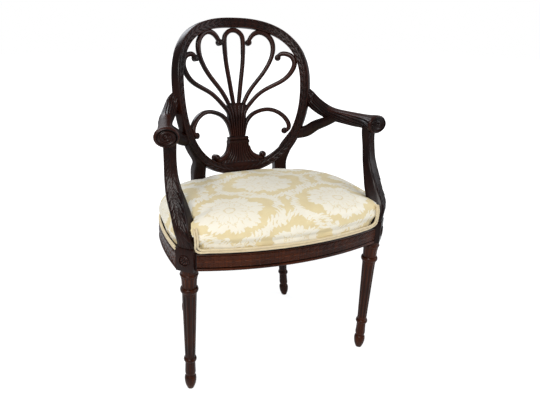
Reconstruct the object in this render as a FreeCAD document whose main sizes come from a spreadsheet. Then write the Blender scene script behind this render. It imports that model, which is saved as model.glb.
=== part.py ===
import FreeCAD, Part
import Sketcher
import math
import os

# Open armchair with an oval pierced back, measured in millimetres.
# X runs to the sitter's left, Y to the back and Z up; the floor is Z = 0.

V = FreeCAD.Vector
doc = FreeCAD.newDocument("shield_back_chair")
sheet = doc.addObject("Spreadsheet::Sheet", "Sizes")

SIZES = {
    # front legs
    "front_leg_x": 269.5, "front_leg_y": -194.0, "block_side": 48.0,
    "block_bottom": 362.0, "block_top": 424.0,
    # turned part of every leg, from the floor up
    "toe_radius": 8.8, "toe_bevel": 12.0, "bulge_radius": 16.0, "bulge_height": 31.0,
    "ankle_radius": 11.7, "ankle_height": 43.0, "sleeve_radius": 14.3, "sleeve_height": 54.0,
    "shaft_foot_radius": 13.6, "lower_collar_height": 93.0, "lower_collar_radius": 17.3,
    "lower_collar_round": 6.5, "shaft_top_radius": 18.9, "main_collar_height": 303.0,
    "main_collar_radius": 23.4, "main_collar_round": 7.0, "waist_radius": 18.2,
    "waist_height": 328.0, "neck_radius": 21.5, "neck_ring_height": 346.0,
    "neck_ring_radius": 23.9, "neck_ring_round": 3.9,
    # rear legs and their stiles
    "rear_foot_x": 187.0, "rear_leg_x": 142.0, "rear_leg_y": 157.5,
    "stile_width": 40.0, "stile_depth": 38.0,
    # curved back
    "back_base_y": 149.4, "back_base_z": 430.0, "back_rake": 10.0, "back_axis": 300.0,
    "hoop_face": 296.0, "hoop_thickness": 26.0, "hoop_width": 28.0,
    "oval_half_width": 219.0, "oval_rise": 187.0, "oval_drop": 266.0, "oval_centre": 330.0,
    "oval_fullness_up": 2.27, "oval_fullness_down": 2.15,
    "crest_joint": 395.0, "arch_joint": 122.0,
    # pierced splat
    "splat_face": 300.0, "splat_thickness": 14.0, "strand_width": 13.0,
    "glue_line": 0.1, "trunk_relief": 5.0, "shell_relief": 9.0, "collar_relief": 11.0,
    # arms
    "arm_height": 676.0, "arm_round": 40.0, "knob_width": 62.0, "knob_height": 50.0,
    "knob_x": 300.5, "knob_y": -123.0, "arm_root_x": 208.0, "arm_root_y": 134.0,
    "arm_root_z": 728.0,
    # seat frame
    "rail_bottom": 362.0, "rail_top": 410.0, "rail_thickness": 28.0,
    "seat_front_y": -260.0, "seat_bow": 43.0, "seat_half_width": 305.0,
    "seat_back_y": 179.0, "rebate_width": 14.0, "rebate_depth": 4.0,
    # upholstery
    "crown_height": 506.0, "cover_bulge": 9.0, "soft_gap": 0.3, "welt_round": 2.9,
    "cushion_middle_y": -22.0, "cushion_lean": 0.45, "foot_inset": 0.972, "web_width": 50.0,
    "web_thickness": 2.0, "web_spacing": 74.0, "dust_thickness": 1.0, "dust_inset": 7.0,
    # corner blocks
    "brace_reach": 62.0, "brace_drop": 6.0,
}

for row, (alias, value) in enumerate(SIZES.items(), start=1):
    sheet.set("A%d" % row, alias)
    sheet.set("B%d" % row, repr(value))
    sheet.setAlias("B%d" % row, alias)
doc.recompute()


def size(alias):
    return float(sheet.get(alias))


def link(alias):
    return "Sizes." + alias


NODES = []


def keep(obj):
    NODES.append(obj)
    return obj


def feature(label, shape):
    obj = doc.addObject("Part::Feature", label)
    obj.Label = label
    obj.Shape = shape
    return keep(obj)


def mirrored(shape):
    return shape.mirror(V(0, 0, 0), V(1, 0, 0))


def largest(shape):
    return max(shape.Solids, key=lambda solid: solid.Volume)


def pair(label, shape):
    feature(label + "_right", shape)
    feature(label + "_left", mirrored(shape))


def plane_of(body, role):
    return next(f for f in body.Origin.OriginFeatures if f.Role == role)


def new_sketch(body, name, role):
    sketch = body.newObject("Sketcher::SketchObject", name)
    sketch.AttachmentSupport = [(plane_of(body, role), "")]
    sketch.MapMode = "FlatFace"
    return sketch


def bind(sketch, constraint, expression):
    sketch.setExpression("Constraints[%d]" % constraint, expression)


def closed_profile(sketch, corners):
    """Straight-sided outline. Each corner is a pair of expressions on the sheet."""
    values = [(float(sheet_value(x)), float(sheet_value(y))) for x, y in corners]
    count = len(values)
    for i in range(count):
        a, b = values[i], values[(i + 1) % count]
        sketch.addGeometry(Part.LineSegment(V(a[0], a[1], 0), V(b[0], b[1], 0)), False)
    for i in range(count):
        sketch.addConstraint(Sketcher.Constraint("Coincident", i, 2, (i + 1) % count, 1))
    for i, (x, y) in enumerate(corners):
        for kind, axis, text, number in (("DistanceX", -2, x, values[i][0]),
                                         ("DistanceY", -1, y, values[i][1])):
            if text == "0":
                sketch.addConstraint(Sketcher.Constraint("PointOnObject", i, 1, axis))
            else:
                c = sketch.addConstraint(Sketcher.Constraint(kind, -1, 1, i, 1, number))
                bind(sketch, c, text)


def sheet_value(text):
    """Value of a sum, difference or product of sheet names and numbers."""
    total = 0.0
    for term in text.replace("-", "+-").split("+"):
        if not term.strip():
            continue
        sign = -1.0 if term.strip().startswith("-") else 1.0
        product = sign
        for factor in term.strip().lstrip("-").split("*"):
            name = factor.strip()
            product *= size(name[6:]) if name.startswith("Sizes.") else float(name)
        total += product
    return total


def round_section(sketch, centre_x, centre_y, radius):
    x, y, r = (sheet_value(t) for t in (centre_x, centre_y, radius))
    g = sketch.addGeometry(Part.Circle(V(x, y, 0), V(0, 0, 1), r), False)
    for kind, args, text, number in (("DistanceX", (-1, 1, g, 3), centre_x, x),
                                     ("DistanceY", (-1, 1, g, 3), centre_y, y),
                                     ("Radius", (g,), radius, r)):
        c = sketch.addConstraint(Sketcher.Constraint(kind, *args, number))
        bind(sketch, c, text)


def revolve(body, sketch, name):
    turned = body.newObject("PartDesign::Revolution", name)
    turned.Profile = sketch
    turned.ReferenceAxis = (sketch, ["V_Axis"])
    turned.Angle = 360
    return turned


def turned_leg(label):
    """Thimble foot, sleeve, tapering shaft and vase-shaped neck, on the body's Z axis."""
    body = doc.addObject("PartDesign::Body", label)
    body.Label = label
    sketch = new_sketch(body, label + "_profile", "XZ_Plane")
    s = link
    closed_profile(sketch, [
        ("0", "0"), (s("toe_radius"), "0"), (s("bulge_radius") + "-2.5", s("toe_bevel")),
        (s("bulge_radius"), s("bulge_height")), (s("ankle_radius"), s("ankle_height")),
        (s("sleeve_radius"), s("sleeve_height")),
        (s("shaft_foot_radius") + "-0.6", s("lower_collar_height") + "-" + s("lower_collar_round")),
        (s("shaft_foot_radius"), s("lower_collar_height") + "+" + s("lower_collar_round")),
        (s("shaft_top_radius"), s("main_collar_height") + "-" + s("main_collar_round")),
        (s("waist_radius"), s("main_collar_height") + "+" + s("main_collar_round")),
        (s("waist_radius"), s("waist_height")), (s("neck_radius"), s("neck_ring_height")),
        (s("neck_radius"), s("block_bottom") + "+1"), ("0", s("block_bottom") + "+1")])
    revolve(body, sketch, label + "_turning")
    for ring in ("lower_collar", "main_collar", "neck_ring"):
        sketch = new_sketch(body, label + "_" + ring, "XZ_Plane")
        round_section(sketch, s(ring + "_radius") + "-" + s(ring + "_round"),
                      s(ring + "_height"), s(ring + "_round"))
        revolve(body, sketch, label + "_" + ring + "_bead")
    doc.recompute()
    return body


def rectangle_pad(body, name, role, half_x, half_y, length, offset):
    """Centred rectangle on a base plane, padded away from it."""
    sketch = new_sketch(body, name + "_outline", role)
    a, b = sheet_value(half_x), sheet_value(half_y)
    ring = [(-a, -b), (a, -b), (a, b), (-a, b)]
    for i in range(4):
        p, q = ring[i], ring[(i + 1) % 4]
        sketch.addGeometry(Part.LineSegment(V(p[0], p[1], 0), V(q[0], q[1], 0)), False)
    for i in range(4):
        sketch.addConstraint(Sketcher.Constraint("Coincident", i, 2, (i + 1) % 4, 1))
    for i, kind in enumerate(("Horizontal", "Vertical", "Horizontal", "Vertical")):
        sketch.addConstraint(Sketcher.Constraint(kind, i))
    sketch.addConstraint(Sketcher.Constraint("Symmetric", 0, 1, 2, 1, -1, 1))
    c = sketch.addConstraint(Sketcher.Constraint("DistanceX", 0, 1, 0, 2, 2 * a))
    bind(sketch, c, "2*(" + half_x + ")")
    c = sketch.addConstraint(Sketcher.Constraint("DistanceY", 1, 1, 1, 2, 2 * b))
    bind(sketch, c, "2*(" + half_y + ")")
    sketch.AttachmentOffset = FreeCAD.Placement(V(0, 0, sheet_value(offset)), FreeCAD.Rotation())
    sketch.setExpression("AttachmentOffset.Base.z", offset)
    pad = body.newObject("PartDesign::Pad", name)
    pad.Profile = sketch
    pad.Length = sheet_value(length)
    pad.setExpression("Length", length)
    return pad


def front_leg(side, sign):
    body = turned_leg("front_leg_" + side)
    half = link("block_side") + "*0.5"
    rectangle_pad(body, "block_" + side, "XY_Plane", half, half,
                  link("block_top") + "-" + link("block_bottom"), link("block_bottom"))
    doc.recompute()
    body.Placement = FreeCAD.Placement(V(sign * size("front_leg_x"), size("front_leg_y"), 0),
                                       FreeCAD.Rotation(V(0, 0, 1), 45))
    body.setExpression("Placement.Base.x", "%d*Sizes.front_leg_x" % sign)
    body.setExpression("Placement.Base.y", "Sizes.front_leg_y")
    doc.recompute()
    return keep(body)


# Curved back. A point of the back is given by its arc length u across the back and its
# height v up the rake, both on a drum whose axis stands in front of the back.

NEAR_PLANE = 0.6
FAR_PLANE = 1.12


def drum_angle(u):
    return u / size("back_axis")


def back_placement():
    return FreeCAD.Placement(V(0, size("back_base_y"), size("back_base_z")),
                             FreeCAD.Rotation(V(1, 0, 0), -size("back_rake")))


def on_drum(u, v, radius):
    a = drum_angle(u)
    local = V(radius * math.sin(a), radius * math.cos(a) - size("back_axis"), v)
    return back_placement().multVec(local)


def smooth_edge(points):
    if len(points) == 2:
        return Part.makeLine(points[0], points[1])
    curve = Part.BSplineCurve()
    curve.interpolate(Points=points)
    return curve.toShape()


def radial_prism(stretches):
    """Solid between two upright planes whose walls all point at the drum's axis."""
    axis = size("back_axis")
    near, far = NEAR_PLANE * axis, FAR_PLANE * axis
    wires = []
    for reach in (near, far):
        edges = []
        for stretch in stretches:
            edges.append(smooth_edge([V(reach * math.tan(drum_angle(u)), reach - axis, v)
                                      for u, v in stretch]))
        wires.append(Part.Wire(edges))
    return Part.makeLoft(wires, True, True)


def drum_shell(inner, outer):
    axis_foot = V(0, -size("back_axis"), -100)
    big = Part.makeCylinder(outer, 900, axis_foot)
    return big.cut(Part.makeCylinder(inner, 900, axis_foot))


def bent_slab(stretches, inner, outer):
    return radial_prism(stretches).common(drum_shell(inner, outer))


def oval_point(t):
    """Centre line of the hoop; t is 0 at the sitter's left side and 90 degrees at the top."""
    c, s = math.cos(t), math.sin(t)
    full = size("oval_fullness_up") if s >= 0 else size("oval_fullness_down")
    tall = size("oval_rise") if s >= 0 else size("oval_drop")
    u = size("oval_half_width") * math.copysign(abs(c) ** (2 / full), c)
    v = size("oval_centre") + tall * math.copysign(abs(s) ** (2 / full), s)
    return u, v


def oval_offset(t, distance):
    step = 0.01
    (u0, v0), (u1, v1) = oval_point(t - step), oval_point(t + step)
    du, dv = u1 - u0, v1 - v0
    length = math.hypot(du, dv)
    u, v = oval_point(t)
    return u + distance * dv / length, v - distance * du / length


def oval_angle(height=None, across=None):
    """Angle on the right half of the oval at a given height v, or low down at a width u."""
    low, high = -math.pi / 2 + 0.02, math.pi / 2 - 0.02
    if across is not None:
        high = 0.0
    for _ in range(50):
        mid = 0.5 * (low + high)
        u, v = oval_point(mid)
        below = v < height if across is None else u < across
        low, high = (mid, high) if below else (low, mid)
    return 0.5 * (low + high)


def oval_band(start, end, count, half):
    steps = [start + (end - start) * i / (count - 1) for i in range(count)]
    outer = [oval_offset(t, half) for t in steps]
    inner = [oval_offset(t, -half) for t in reversed(steps)]
    return [outer, [outer[-1], inner[0]], inner, [inner[-1], outer[0]]]


def hoop_piece(start, end, count):
    face = size("hoop_face")
    return bent_slab(oval_band(start, end, count, size("hoop_width") / 2),
                     face, face + size("hoop_thickness"))


crest_angle = oval_angle(height=size("crest_joint"))
arch_angle = oval_angle(across=size("arch_joint"))

crest = hoop_piece(crest_angle, math.pi - crest_angle, 15)
hoop_side = hoop_piece(arch_angle, crest_angle, 13)
arch = hoop_piece(-math.pi - arch_angle, arch_angle, 13)


def section(centre, across, depth, half_across, half_depth):
    corners = []
    for i, j in ((-1, -1), (1, -1), (1, 1), (-1, 1)):
        corners.append(centre + across * (i * half_across) + depth * (j * half_depth))
    return Part.makePolygon(corners + [corners[0]])


def stile_section(u, v, lean, width, depth, setback):
    """Section of the stile square to its own path on the drum."""
    middle = size("hoop_face") + setback + depth / 2
    centre = on_drum(u, v, middle)
    back = (on_drum(u, v, middle + 10) - centre).normalize()
    up = (on_drum(u, v + 10, middle) - centre).normalize()
    side = back.cross(up).normalize() * -1
    if side.x < 0:
        side = side * -1
    across = side * math.cos(math.radians(lean)) - up * math.sin(math.radians(lean))
    return section(centre, across, back, width / 2, depth / 2)


def stile_loft(grow=0.0):
    """Block and stile of the sitter's left leg, from the rails up into the hoop."""
    x_foot, x_seat, y = size("rear_foot_x"), size("rear_leg_x"), size("rear_leg_y")
    width, depth = size("stile_width"), size("stile_depth")
    seat_z = size("back_base_z")
    slope = (x_foot - x_seat) / seat_z
    sections = []
    for z in (size("block_bottom"), size("rail_top"), seat_z + 20):
        sections.append(section(V(x_foot - slope * z, y, z), V(1, 0, 0), V(0, 1, 0),
                                width / 2 + 1 + grow, depth / 2 + 1 + grow))
    for u, v, turn_back in ((136.5, 55, 6), (135.5, 77, 10)):
        centre = on_drum(u, v, size("hoop_face") + depth / 2 + 4)
        centre.y = y
        a = math.radians(turn_back)
        sections.append(section(centre, V(math.cos(a), -math.sin(a), 0), V(math.sin(a), math.cos(a), 0),
                                width / 2 + grow, depth / 2 + grow))
    for u, v, lean_angle, w in ((143, 107, 14, width), (153, 128, 28, width - 1),
                                (172, 154, 38, width - 4), (191, 186, 26, width - 13)):
        sections.append(stile_section(u, v, lean_angle, w + 2 * grow,
                                      size("hoop_thickness") - 3 + 2 * grow, 2 - grow))
    return Part.makeLoft(sections, True, False)


def rear_leg_shape():
    x_foot, x_seat, y = size("rear_foot_x"), size("rear_leg_x"), size("rear_leg_y")
    slope = (x_foot - x_seat) / size("back_base_z")
    leg = turned_leg("rear_turning").Shape.copy()
    leg.Placement = FreeCAD.Placement(V(x_foot, y, 0), FreeCAD.Rotation(V(0, 0, 1), V(-slope, 0, 1)))
    hoop = hoop_side.copy()
    hoop.Placement = back_placement()
    whole = leg.fuse([stile_loft(), hoop]).removeSplitter()
    below = Part.makeBox(200, 200, 20, V(x_foot - 100, y - 100, -20))
    return largest(whole.cut(below))


front_leg("right", 1)
front_leg("left", -1)

rear_leg = rear_leg_shape()
pair("rear_leg", rear_leg)
rear_legs = rear_leg.fuse(mirrored(rear_leg))

crest.Placement = back_placement()
feature("crest_rail", crest)
arch.Placement = back_placement()
arch = largest(arch.cut(rear_legs))
feature("lower_back_rail", arch)


# Pierced splat: strands laid out on the drum, each a ribbon of even width.

def ribbon(points, width):
    """Two smooth sides at half the width from a path of (u, v) points."""
    path = Part.BSplineCurve()
    path.interpolate(Points=[V(u, v, 0) for u, v in points])
    count = 3 * len(points)
    left, right = [], []
    for i in range(count + 1):
        k = path.FirstParameter + (path.LastParameter - path.FirstParameter) * i / count
        p = path.value(k)
        d = path.tangent(k)[0]
        left.append((p.x - d.y * width / 2, p.y + d.x * width / 2))
        right.append((p.x + d.y * width / 2, p.y - d.x * width / 2))
    right.reverse()
    return [left, [left[-1], right[0]], right, [right[-1], left[0]]]


def disc(u, v, radius):
    return [[(u + radius * math.cos(a), v + radius * math.sin(a))
             for a in [math.radians(90 * q + 15 * i) for i in range(7)]] for q in range(4)]


def swap(points):
    return [(-u, v) for u, v in points]


def both_sides(points):
    return [points, swap(points)]


def flat_face(stretches):
    """The outline drawn on the upright plane in front of the drum, facing its axis."""
    axis = size("back_axis")
    reach = NEAR_PLANE * axis
    edges = []
    for stretch in stretches:
        edges.append(smooth_edge([V(reach * math.tan(drum_angle(u)), reach - axis, v)
                                  for u, v in stretch]))
    return Part.Face(Part.Wire(edges))


def prism_of(face):
    """Radial prism of a flat face with holes: each edge is drawn again on the far plane."""
    axis = size("back_axis")
    ratio = FAR_PLANE / NEAR_PLANE
    solids = []
    for wire in face.Wires:
        near_edges, far_edges = [], []
        for edge in wire.OrderedEdges:
            straight = edge.Length < 4 or isinstance(edge.Curve, (Part.Line, Part.LineSegment))
            count = 2 if straight else max(5, int(edge.Length / 9))
            points = edge.discretize(count)
            if edge.Orientation == "Reversed":
                points.reverse()
            near_edges.append(smooth_edge(points))
            far_edges.append(smooth_edge([V(p.x * ratio, FAR_PLANE * axis - axis, p.z) for p in points]))
        loops = [Part.Wire(Part.__sortEdges__(edges)) for edges in (near_edges, far_edges)]
        solids.append(Part.makeLoft(loops, True, True))
    solids.sort(key=lambda s: -s.Volume)
    return solids[0].cut(solids[1:]) if len(solids) > 1 else solids[0]


def union_face(flats, clip):
    """One flat outline from many overlapping ones, trimmed to the clip's outline."""
    depth = V(0, 10, 0)
    plates = [flat.extrude(depth) for flat in flats]
    joined = plates[0].fuse(plates[1:]).common(clip.extrude(depth)).removeSplitter()
    level = (NEAR_PLANE - 1) * size("back_axis")
    caps = [f for f in joined.Faces if abs(f.CenterOfMass.y - level) < 0.01]
    return max(caps, key=lambda f: f.Area)


def splat_shape():
    face = size("splat_face")
    back = face + size("splat_thickness")
    wide = size("strand_width")
    glue = size("glue_line")
    rim = size("hoop_width") / 2
    loop_top = size("oval_centre") + size("oval_rise") - rim
    loop_radius = 29.5
    loop_v = loop_top - loop_radius - wide / 2 + 1
    rise = [(7, 262), (9.5, 280), (15.5, 320), (21.5, 360), (27, 400), (29.6, 440)]
    arch_over = [(loop_radius * math.cos(math.radians(a)), loop_v + loop_radius * math.sin(math.radians(a)))
                 for a in range(0, 181, 30)]
    paths = [rise + arch_over + list(reversed(swap(rise)))]
    inner_lobe = [(16, 255), (28.5, 280), (53, 320), (86.8, 360), (112.5, 400), (122.5, 432),
                  (118.5, 462), (100, 483), (78, 489.5), (60, 479), (50, 464)]
    outer_lobe = [(28, 245), (42, 267), (75, 300), (112.5, 321), (152, 340), (176, 362),
                  (189, 388), (180.5, 411), (162, 420.5), (146, 421), (137, 413)]
    scroll = [(20, 190), (33, 212), (57, 239), (97, 250.5), (133, 240), (157, 218), (167, 192), (162, 178)]
    for path in (inner_lobe, outer_lobe, scroll):
        paths += both_sides(path)
    flats = [flat_face(ribbon(path, wide)) for path in paths]
    for u, v, radius in ((45, 459, 10.5), (134.5, 411.5, 10.5), (148.5, 180, 9.5), (78, 106, 12)):
        for sign in (1, -1):
            flats.append(flat_face(disc(sign * u, v, radius)))
    trunk = [(28, 160), (31, 180), (38, 200), (41, 225), (42.5, 250), (46, 262), (40, 268)]
    crown = [(40, 268), (0, 276), (-40, 268)]
    flats.append(flat_face([trunk, crown, list(reversed(swap(trunk))), [(-28, 160), (28, 160)]]))
    bell = [(90, 99), (62, 101), (50, 112), (43, 122), (38, 135), (34, 150), (33, 170)]
    base = [[(-90, 99), (-84, 60)], [(-84, 60), (84, 60)], [(84, 60), (90, 99)]]
    flats.append(flat_face([bell, [(33, 170), (-33, 170)], list(reversed(swap(bell)))] + base))
    opening = [oval_offset(math.radians(a), -rim - glue) for a in range(-90, 271, 12)]
    halves = [opening[:16], opening[15:]]
    board = union_face(flats, flat_face(halves))
    carved = prism_of(board).common(drum_shell(face, back))
    small = 0.8
    trunk_top = [(u - small, v) for u, v in trunk[1:-1]]
    reliefs = [([trunk_top, [trunk_top[-1], (0, 268), (-trunk_top[-1][0], trunk_top[-1][1])],
                 list(reversed(swap(trunk_top))), [(-trunk_top[0][0], 180), (trunk_top[0][0], 180)]],
                size("trunk_relief"))]
    for low, high in ((149, 158), (160, 169)):
        w = 32.2
        reliefs.append(([[(w, low), (w, high)], [(w, high), (-w, high)], [(-w, high), (-w, low)],
                         [(-w, low), (w, low)]], size("collar_relief")))
    skirt = [(60, 102), (49.2, 112), (42.2, 122), (37.2, 135), (33.4, 148)]
    floor = [oval_offset(math.radians(-90 + a), -rim - glue - small) for a in (-14, -7, 0, 7, 14)]
    reliefs.append(([skirt, [(33.4, 148), (-33.4, 148)], list(reversed(swap(skirt))),
                     [(-60, 102), floor[0]], floor, [floor[-1], (60, 102)]], size("shell_relief")))
    for sign in (1, -1):
        reliefs.append((disc(sign * 78, 106, 11), size("collar_relief")))
    raised = [bent_slab(outline, face - height, face + 2) for outline, height in reliefs]
    return largest(carved.fuse(raised))


splat = splat_shape()
splat.Placement = back_placement()
feature("splat", splat)


# Arms, their braces and the S-shaped supports.

def ring_points(centre, forward, width, height, count=12):
    forward = V(forward).normalize()
    side = forward.cross(V(0, 0, 1)).normalize()
    up = side.cross(forward).normalize()
    points = []
    for i in range(count):
        a = 2 * math.pi * i / count
        points.append(centre + side * (width / 2 * math.cos(a)) + up * (height / 2 * math.sin(a)))
    return points


def smooth_ring(points):
    curve = Part.BSplineCurve()
    curve.interpolate(Points=points, PeriodicFlag=True)
    return Part.Wire([curve.toShape()])


def limb(stations):
    """Smooth limb through oval sections: each station is centre, width and height."""
    centres = [s[0] for s in stations]
    wires = []
    for i, (centre, width, height) in enumerate(stations):
        before, after = centres[max(i - 1, 0)], centres[min(i + 1, len(centres) - 1)]
        wires.append(smooth_ring(ring_points(centre, after - before, width, height)))
    return Part.makeLoft(wires, True, False)


def arm_shape():
    kx, ky, z, r = size("knob_x"), size("knob_y"), size("arm_height"), size("arm_round")
    kw, kh = size("knob_width"), size("knob_height")
    rx, ry, rz = size("arm_root_x"), size("arm_root_y"), size("arm_root_z")
    return limb([
        (V(kx, ky, z), kw, kh), (V(kx - 2, ky + 14, z), kw, kh), (V(kx - 6, ky + 38, z + 1), kw * 0.78, kh * 0.84),
        (V(kx - 15, ky + 78, z), r + 3, r + 1), (V(kx - 25, ky + 122, z), r, r),
        (V(kx - 38, ky + 178, z + 2), r, r), (V(kx - 51, ky + 210, z + 11), r, r + 2),
        (V(kx - 65, ky + 235, z + 25), r - 1, r + 4), (V(rx + 16, ry - 5, rz - 13), r - 3, r + 6),
        (V(rx, ry, rz), r - 6, r + 8), (V(rx - 14, ry + 1, rz + 8), r - 8, r + 8)])


arm = arm_shape().cut(rear_leg.fuse(crest))
arm = largest(arm)
pair("arm", arm)


def support_shape(grow=0.0):
    x, y, z = size("front_leg_x"), size("front_leg_y"), size("block_top")
    top = size("arm_height") - 13
    wires = []
    for dx, dy, height, wide, deep, turn in (
            (0, 0, z, 44, 44, 45), (3, 1, z + 20, 43, 46, 45), (6, 5, z + 34, 42, 49, 44),
            (8.5, 11, z + 48, 42, 49, 41), (10, 20, z + 62, 41.5, 48, 38.5), (11.5, 31, z + 76, 41.5, 45, 36),
            (14, 43, z + 91, 42, 41, 32), (16.5, 53, z + 106, 41.5, 37, 28), (18.5, 63.5, z + 121, 39, 33, 24),
            (19.5, 72, z + 136, 36.5, 30, 21), (20, 79, z + 151, 34.5, 27, 19), (20, 84, z + 168, 33, 25, 17),
            (19.5, 90, z + 196, 32, 24, 15), (18.5, 94, z + 220, 33, 26, 15), (18, 95, top, 34, 28, 15)):
        a = math.radians(turn)
        across = V(math.cos(a), math.sin(a), 0)
        depth = V(-math.sin(a), math.cos(a), 0)
        wires.append(section(V(x + dx, y + dy, height), across, depth, wide / 2 + grow, deep / 2 + grow))
    return Part.makeLoft(wires, True, True)


support = largest(support_shape().cut(arm))
pair("arm_support", support)


def brace_shape():
    start = on_drum(188, 172, size("hoop_face") + 14)
    stations = [(start, 24, 36), (V(208, 109, 618), 22, 36), (V(226, 92, 636), 22, 34),
                (V(244, 66, 652), 22, 30), (V(258, 42, 668), 22, 28)]
    return limb([(c, w, h) for c, w, h in stations])


brace = largest(brace_shape().cut(rear_leg.fuse(arm)))
pair("arm_brace", brace)


# Seat frame: a ring of rails round a horseshoe plan, parted by the four leg blocks.

def circle_centre(a, b, c):
    """Centre of the circle through three plan points."""
    d = 2 * (a.x * (b.y - c.y) + b.x * (c.y - a.y) + c.x * (a.y - b.y))
    squares = [p.x ** 2 + p.y ** 2 for p in (a, b, c)]
    x = (squares[0] * (b.y - c.y) + squares[1] * (c.y - a.y) + squares[2] * (a.y - b.y)) / d
    y = (squares[0] * (c.x - b.x) + squares[1] * (a.x - c.x) + squares[2] * (b.x - a.x)) / d
    return V(x, y, 0)


def plan_arcs():
    """Front, flank and rear quarter of the seat's edge, each as centre, start and end."""
    front, bow, half = size("seat_front_y"), size("seat_bow"), size("seat_half_width")
    lx, ly = size("front_leg_x"), size("front_leg_y")
    tip = V(lx - 8, front + bow, 0)
    other_tip = V(-tip.x, tip.y, 0)
    flank_start, flank_mid = V(lx + 30, ly - 2, 0), V(half, ly + 100, 0)
    flank_end = V(half - 6, ly + 190, 0)
    rear_end = V(size("rear_leg_x") + 24, size("rear_leg_y") + 2, 0)
    flank_centre = circle_centre(flank_start, flank_mid, flank_end)
    outward = (flank_end - flank_centre).normalize()
    chord = rear_end - flank_end
    radius = -chord.dot(chord) / (2 * chord.dot(outward))
    return ((circle_centre(other_tip, V(0, front, 0), tip), other_tip, tip),
            (flank_centre, flank_start, flank_end),
            (flank_end - outward * radius, flank_end, rear_end))


def pulled(centre, point, inset):
    return point + (centre - point).normalize() * inset


def arc_edge(arc, inset):
    """One arc of the plan moved inwards."""
    centre, start, end = arc
    middle = centre + ((start - centre) + (end - centre)).normalize() * (start - centre).Length
    return Part.Arc(*[pulled(centre, point, inset) for point in (start, middle, end)]).toShape()


def plan_wire(inset=0.0):
    front, flank, rear = plan_arcs()
    edges = [arc_edge(arc, inset) for arc in (front, flank, rear)]
    left = [mirrored(edge) for edge in edges[1:]]
    ends = [pulled(front[0], front[2], inset), pulled(flank[0], flank[1], inset), pulled(rear[0], rear[2], inset)]
    tail = V(size("rear_leg_x") + 6, size("seat_back_y") - inset, 0)
    straight = [Part.makeLine(ends[0], ends[1]), Part.makeLine(ends[2], tail)]
    across = Part.makeLine(tail, V(-tail.x, tail.y, 0))
    loose = edges + left + straight + [mirrored(edge) for edge in straight] + [across]
    return Part.Wire(Part.__sortEdges__(loose))


def plan_slab(inset, bottom, top):
    face = Part.Face(plan_wire(inset))
    slab = face.extrude(V(0, 0, top - bottom))
    slab.translate(V(0, 0, bottom))
    return slab


bottom, top = size("rail_bottom"), size("rail_top")
blocks = [obj.Shape.copy() for obj in NODES if obj.Label.startswith("front_leg")]
legs = blocks[0].fuse([blocks[1], rear_legs])
thick = size("rail_thickness")
ring = plan_slab(0, bottom, top).cut(plan_slab(thick, bottom - 1, top + 1))
ring = ring.cut(plan_slab(thick - size("rebate_width"), top - size("rebate_depth"), top + 1))
rails = sorted(ring.cut(legs).Solids, key=lambda s: -s.Volume)
named = {}
for piece in rails[:4]:
    c = piece.CenterOfMass
    name = "front_rail" if c.y < -150 else "back_rail" if c.y > 120 and abs(c.x) < 20 else (
        "side_rail_right" if c.x > 0 else "side_rail_left")
    named[name] = piece
for name in ("front_rail", "side_rail_right", "side_rail_left", "back_rail"):
    feature(name, named[name])


# Upholstery: webbing in the rebate, a domed cushion with notches, and a double welt.

def cushion_ring(scale, z, count=48):
    """Plan outline scaled about the middle of the seat, drawn as one smooth loop."""
    points = plan_wire(0.0).discretize(Number=count + 1)[:-1]
    start = min(range(count), key=lambda i: abs(points[i].x) + (1000 if points[i].y > 0 else 0))
    points = points[start:] + points[:start]
    belly = 0.5 * (size("rail_top") + size("crown_height"))
    middle = size("cushion_middle_y")
    forward = size("cushion_lean") * max(0.0, z - belly)
    return smooth_ring([V(p.x * scale, middle - forward + (p.y - middle) * scale, z) for p in points])


def cushion_shape():
    """Domed pad: a drawn-in foot, a full belly and a low crown."""
    base = size("rail_top") + size("soft_gap")
    rise = size("crown_height") - base
    swell = 1 + size("cover_bulge") / size("seat_half_width")
    foot = size("foot_inset")
    side = Part.BSplineCurve()
    side.interpolate(Points=[V(scale, h, 0) for scale, h in (
        (foot, 0.14), (1.005, 0.22), (swell, 0.34), (swell - 0.012, 0.5), (0.955, 0.7),
        (0.845, 0.845), (0.63, 0.945), (0.34, 0.987), (0.1, 1.0))])
    low, high = side.FirstParameter, side.LastParameter
    steps = [side.value(low + (high - low) * i / 14) for i in range(15)]
    rings = [cushion_ring(foot - 0.004, base)]
    rings += [cushion_ring(p.x, base + p.y * rise) for p in steps]
    return Part.makeLoft(rings, True, True)


gap = size("soft_gap")
half_clear, face_clear = size("hoop_width") / 2 + 1.5, size("hoop_face") - 1.5
arch_room = bent_slab(oval_band(-math.pi - arch_angle, arch_angle, 13, half_clear), face_clear,
                      face_clear + size("hoop_thickness") + 3)
arch_room.Placement = back_placement()
cushion = cushion_shape().cut([support_shape(1.2), mirrored(support_shape(1.2)), stile_loft(1.2),
                               mirrored(stile_loft(1.2)), arch_room])
post_side = size("block_side") / 2 + 1.2
for sign in (1, -1):
    notch = Part.makeBox(2 * post_side, 2 * post_side, 40, V(-post_side, -post_side, 0))
    notch.Placement = FreeCAD.Placement(V(sign * size("front_leg_x"), size("front_leg_y"), top - 1),
                                        FreeCAD.Rotation(V(0, 0, 1), 45))
    cushion = cushion.cut(notch)
cushion = largest(cushion)
feature("seat_cushion", cushion)


def cord(arc, z):
    """Round cord along one arc of the plan: a ring turned about the arc's centre."""
    centre, start, end = arc
    begin = pulled(centre, start, gap)
    along = V(0, 0, 1).cross(begin - centre).normalize()
    ring = Part.Face(Part.Wire([Part.Circle(V(begin.x, begin.y, z), along, size("welt_round")).toShape()]))
    sweep = math.degrees((start - centre).getAngle(end - centre))
    return ring.revolve(V(centre.x, centre.y, z), V(0, 0, 1), sweep)


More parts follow.
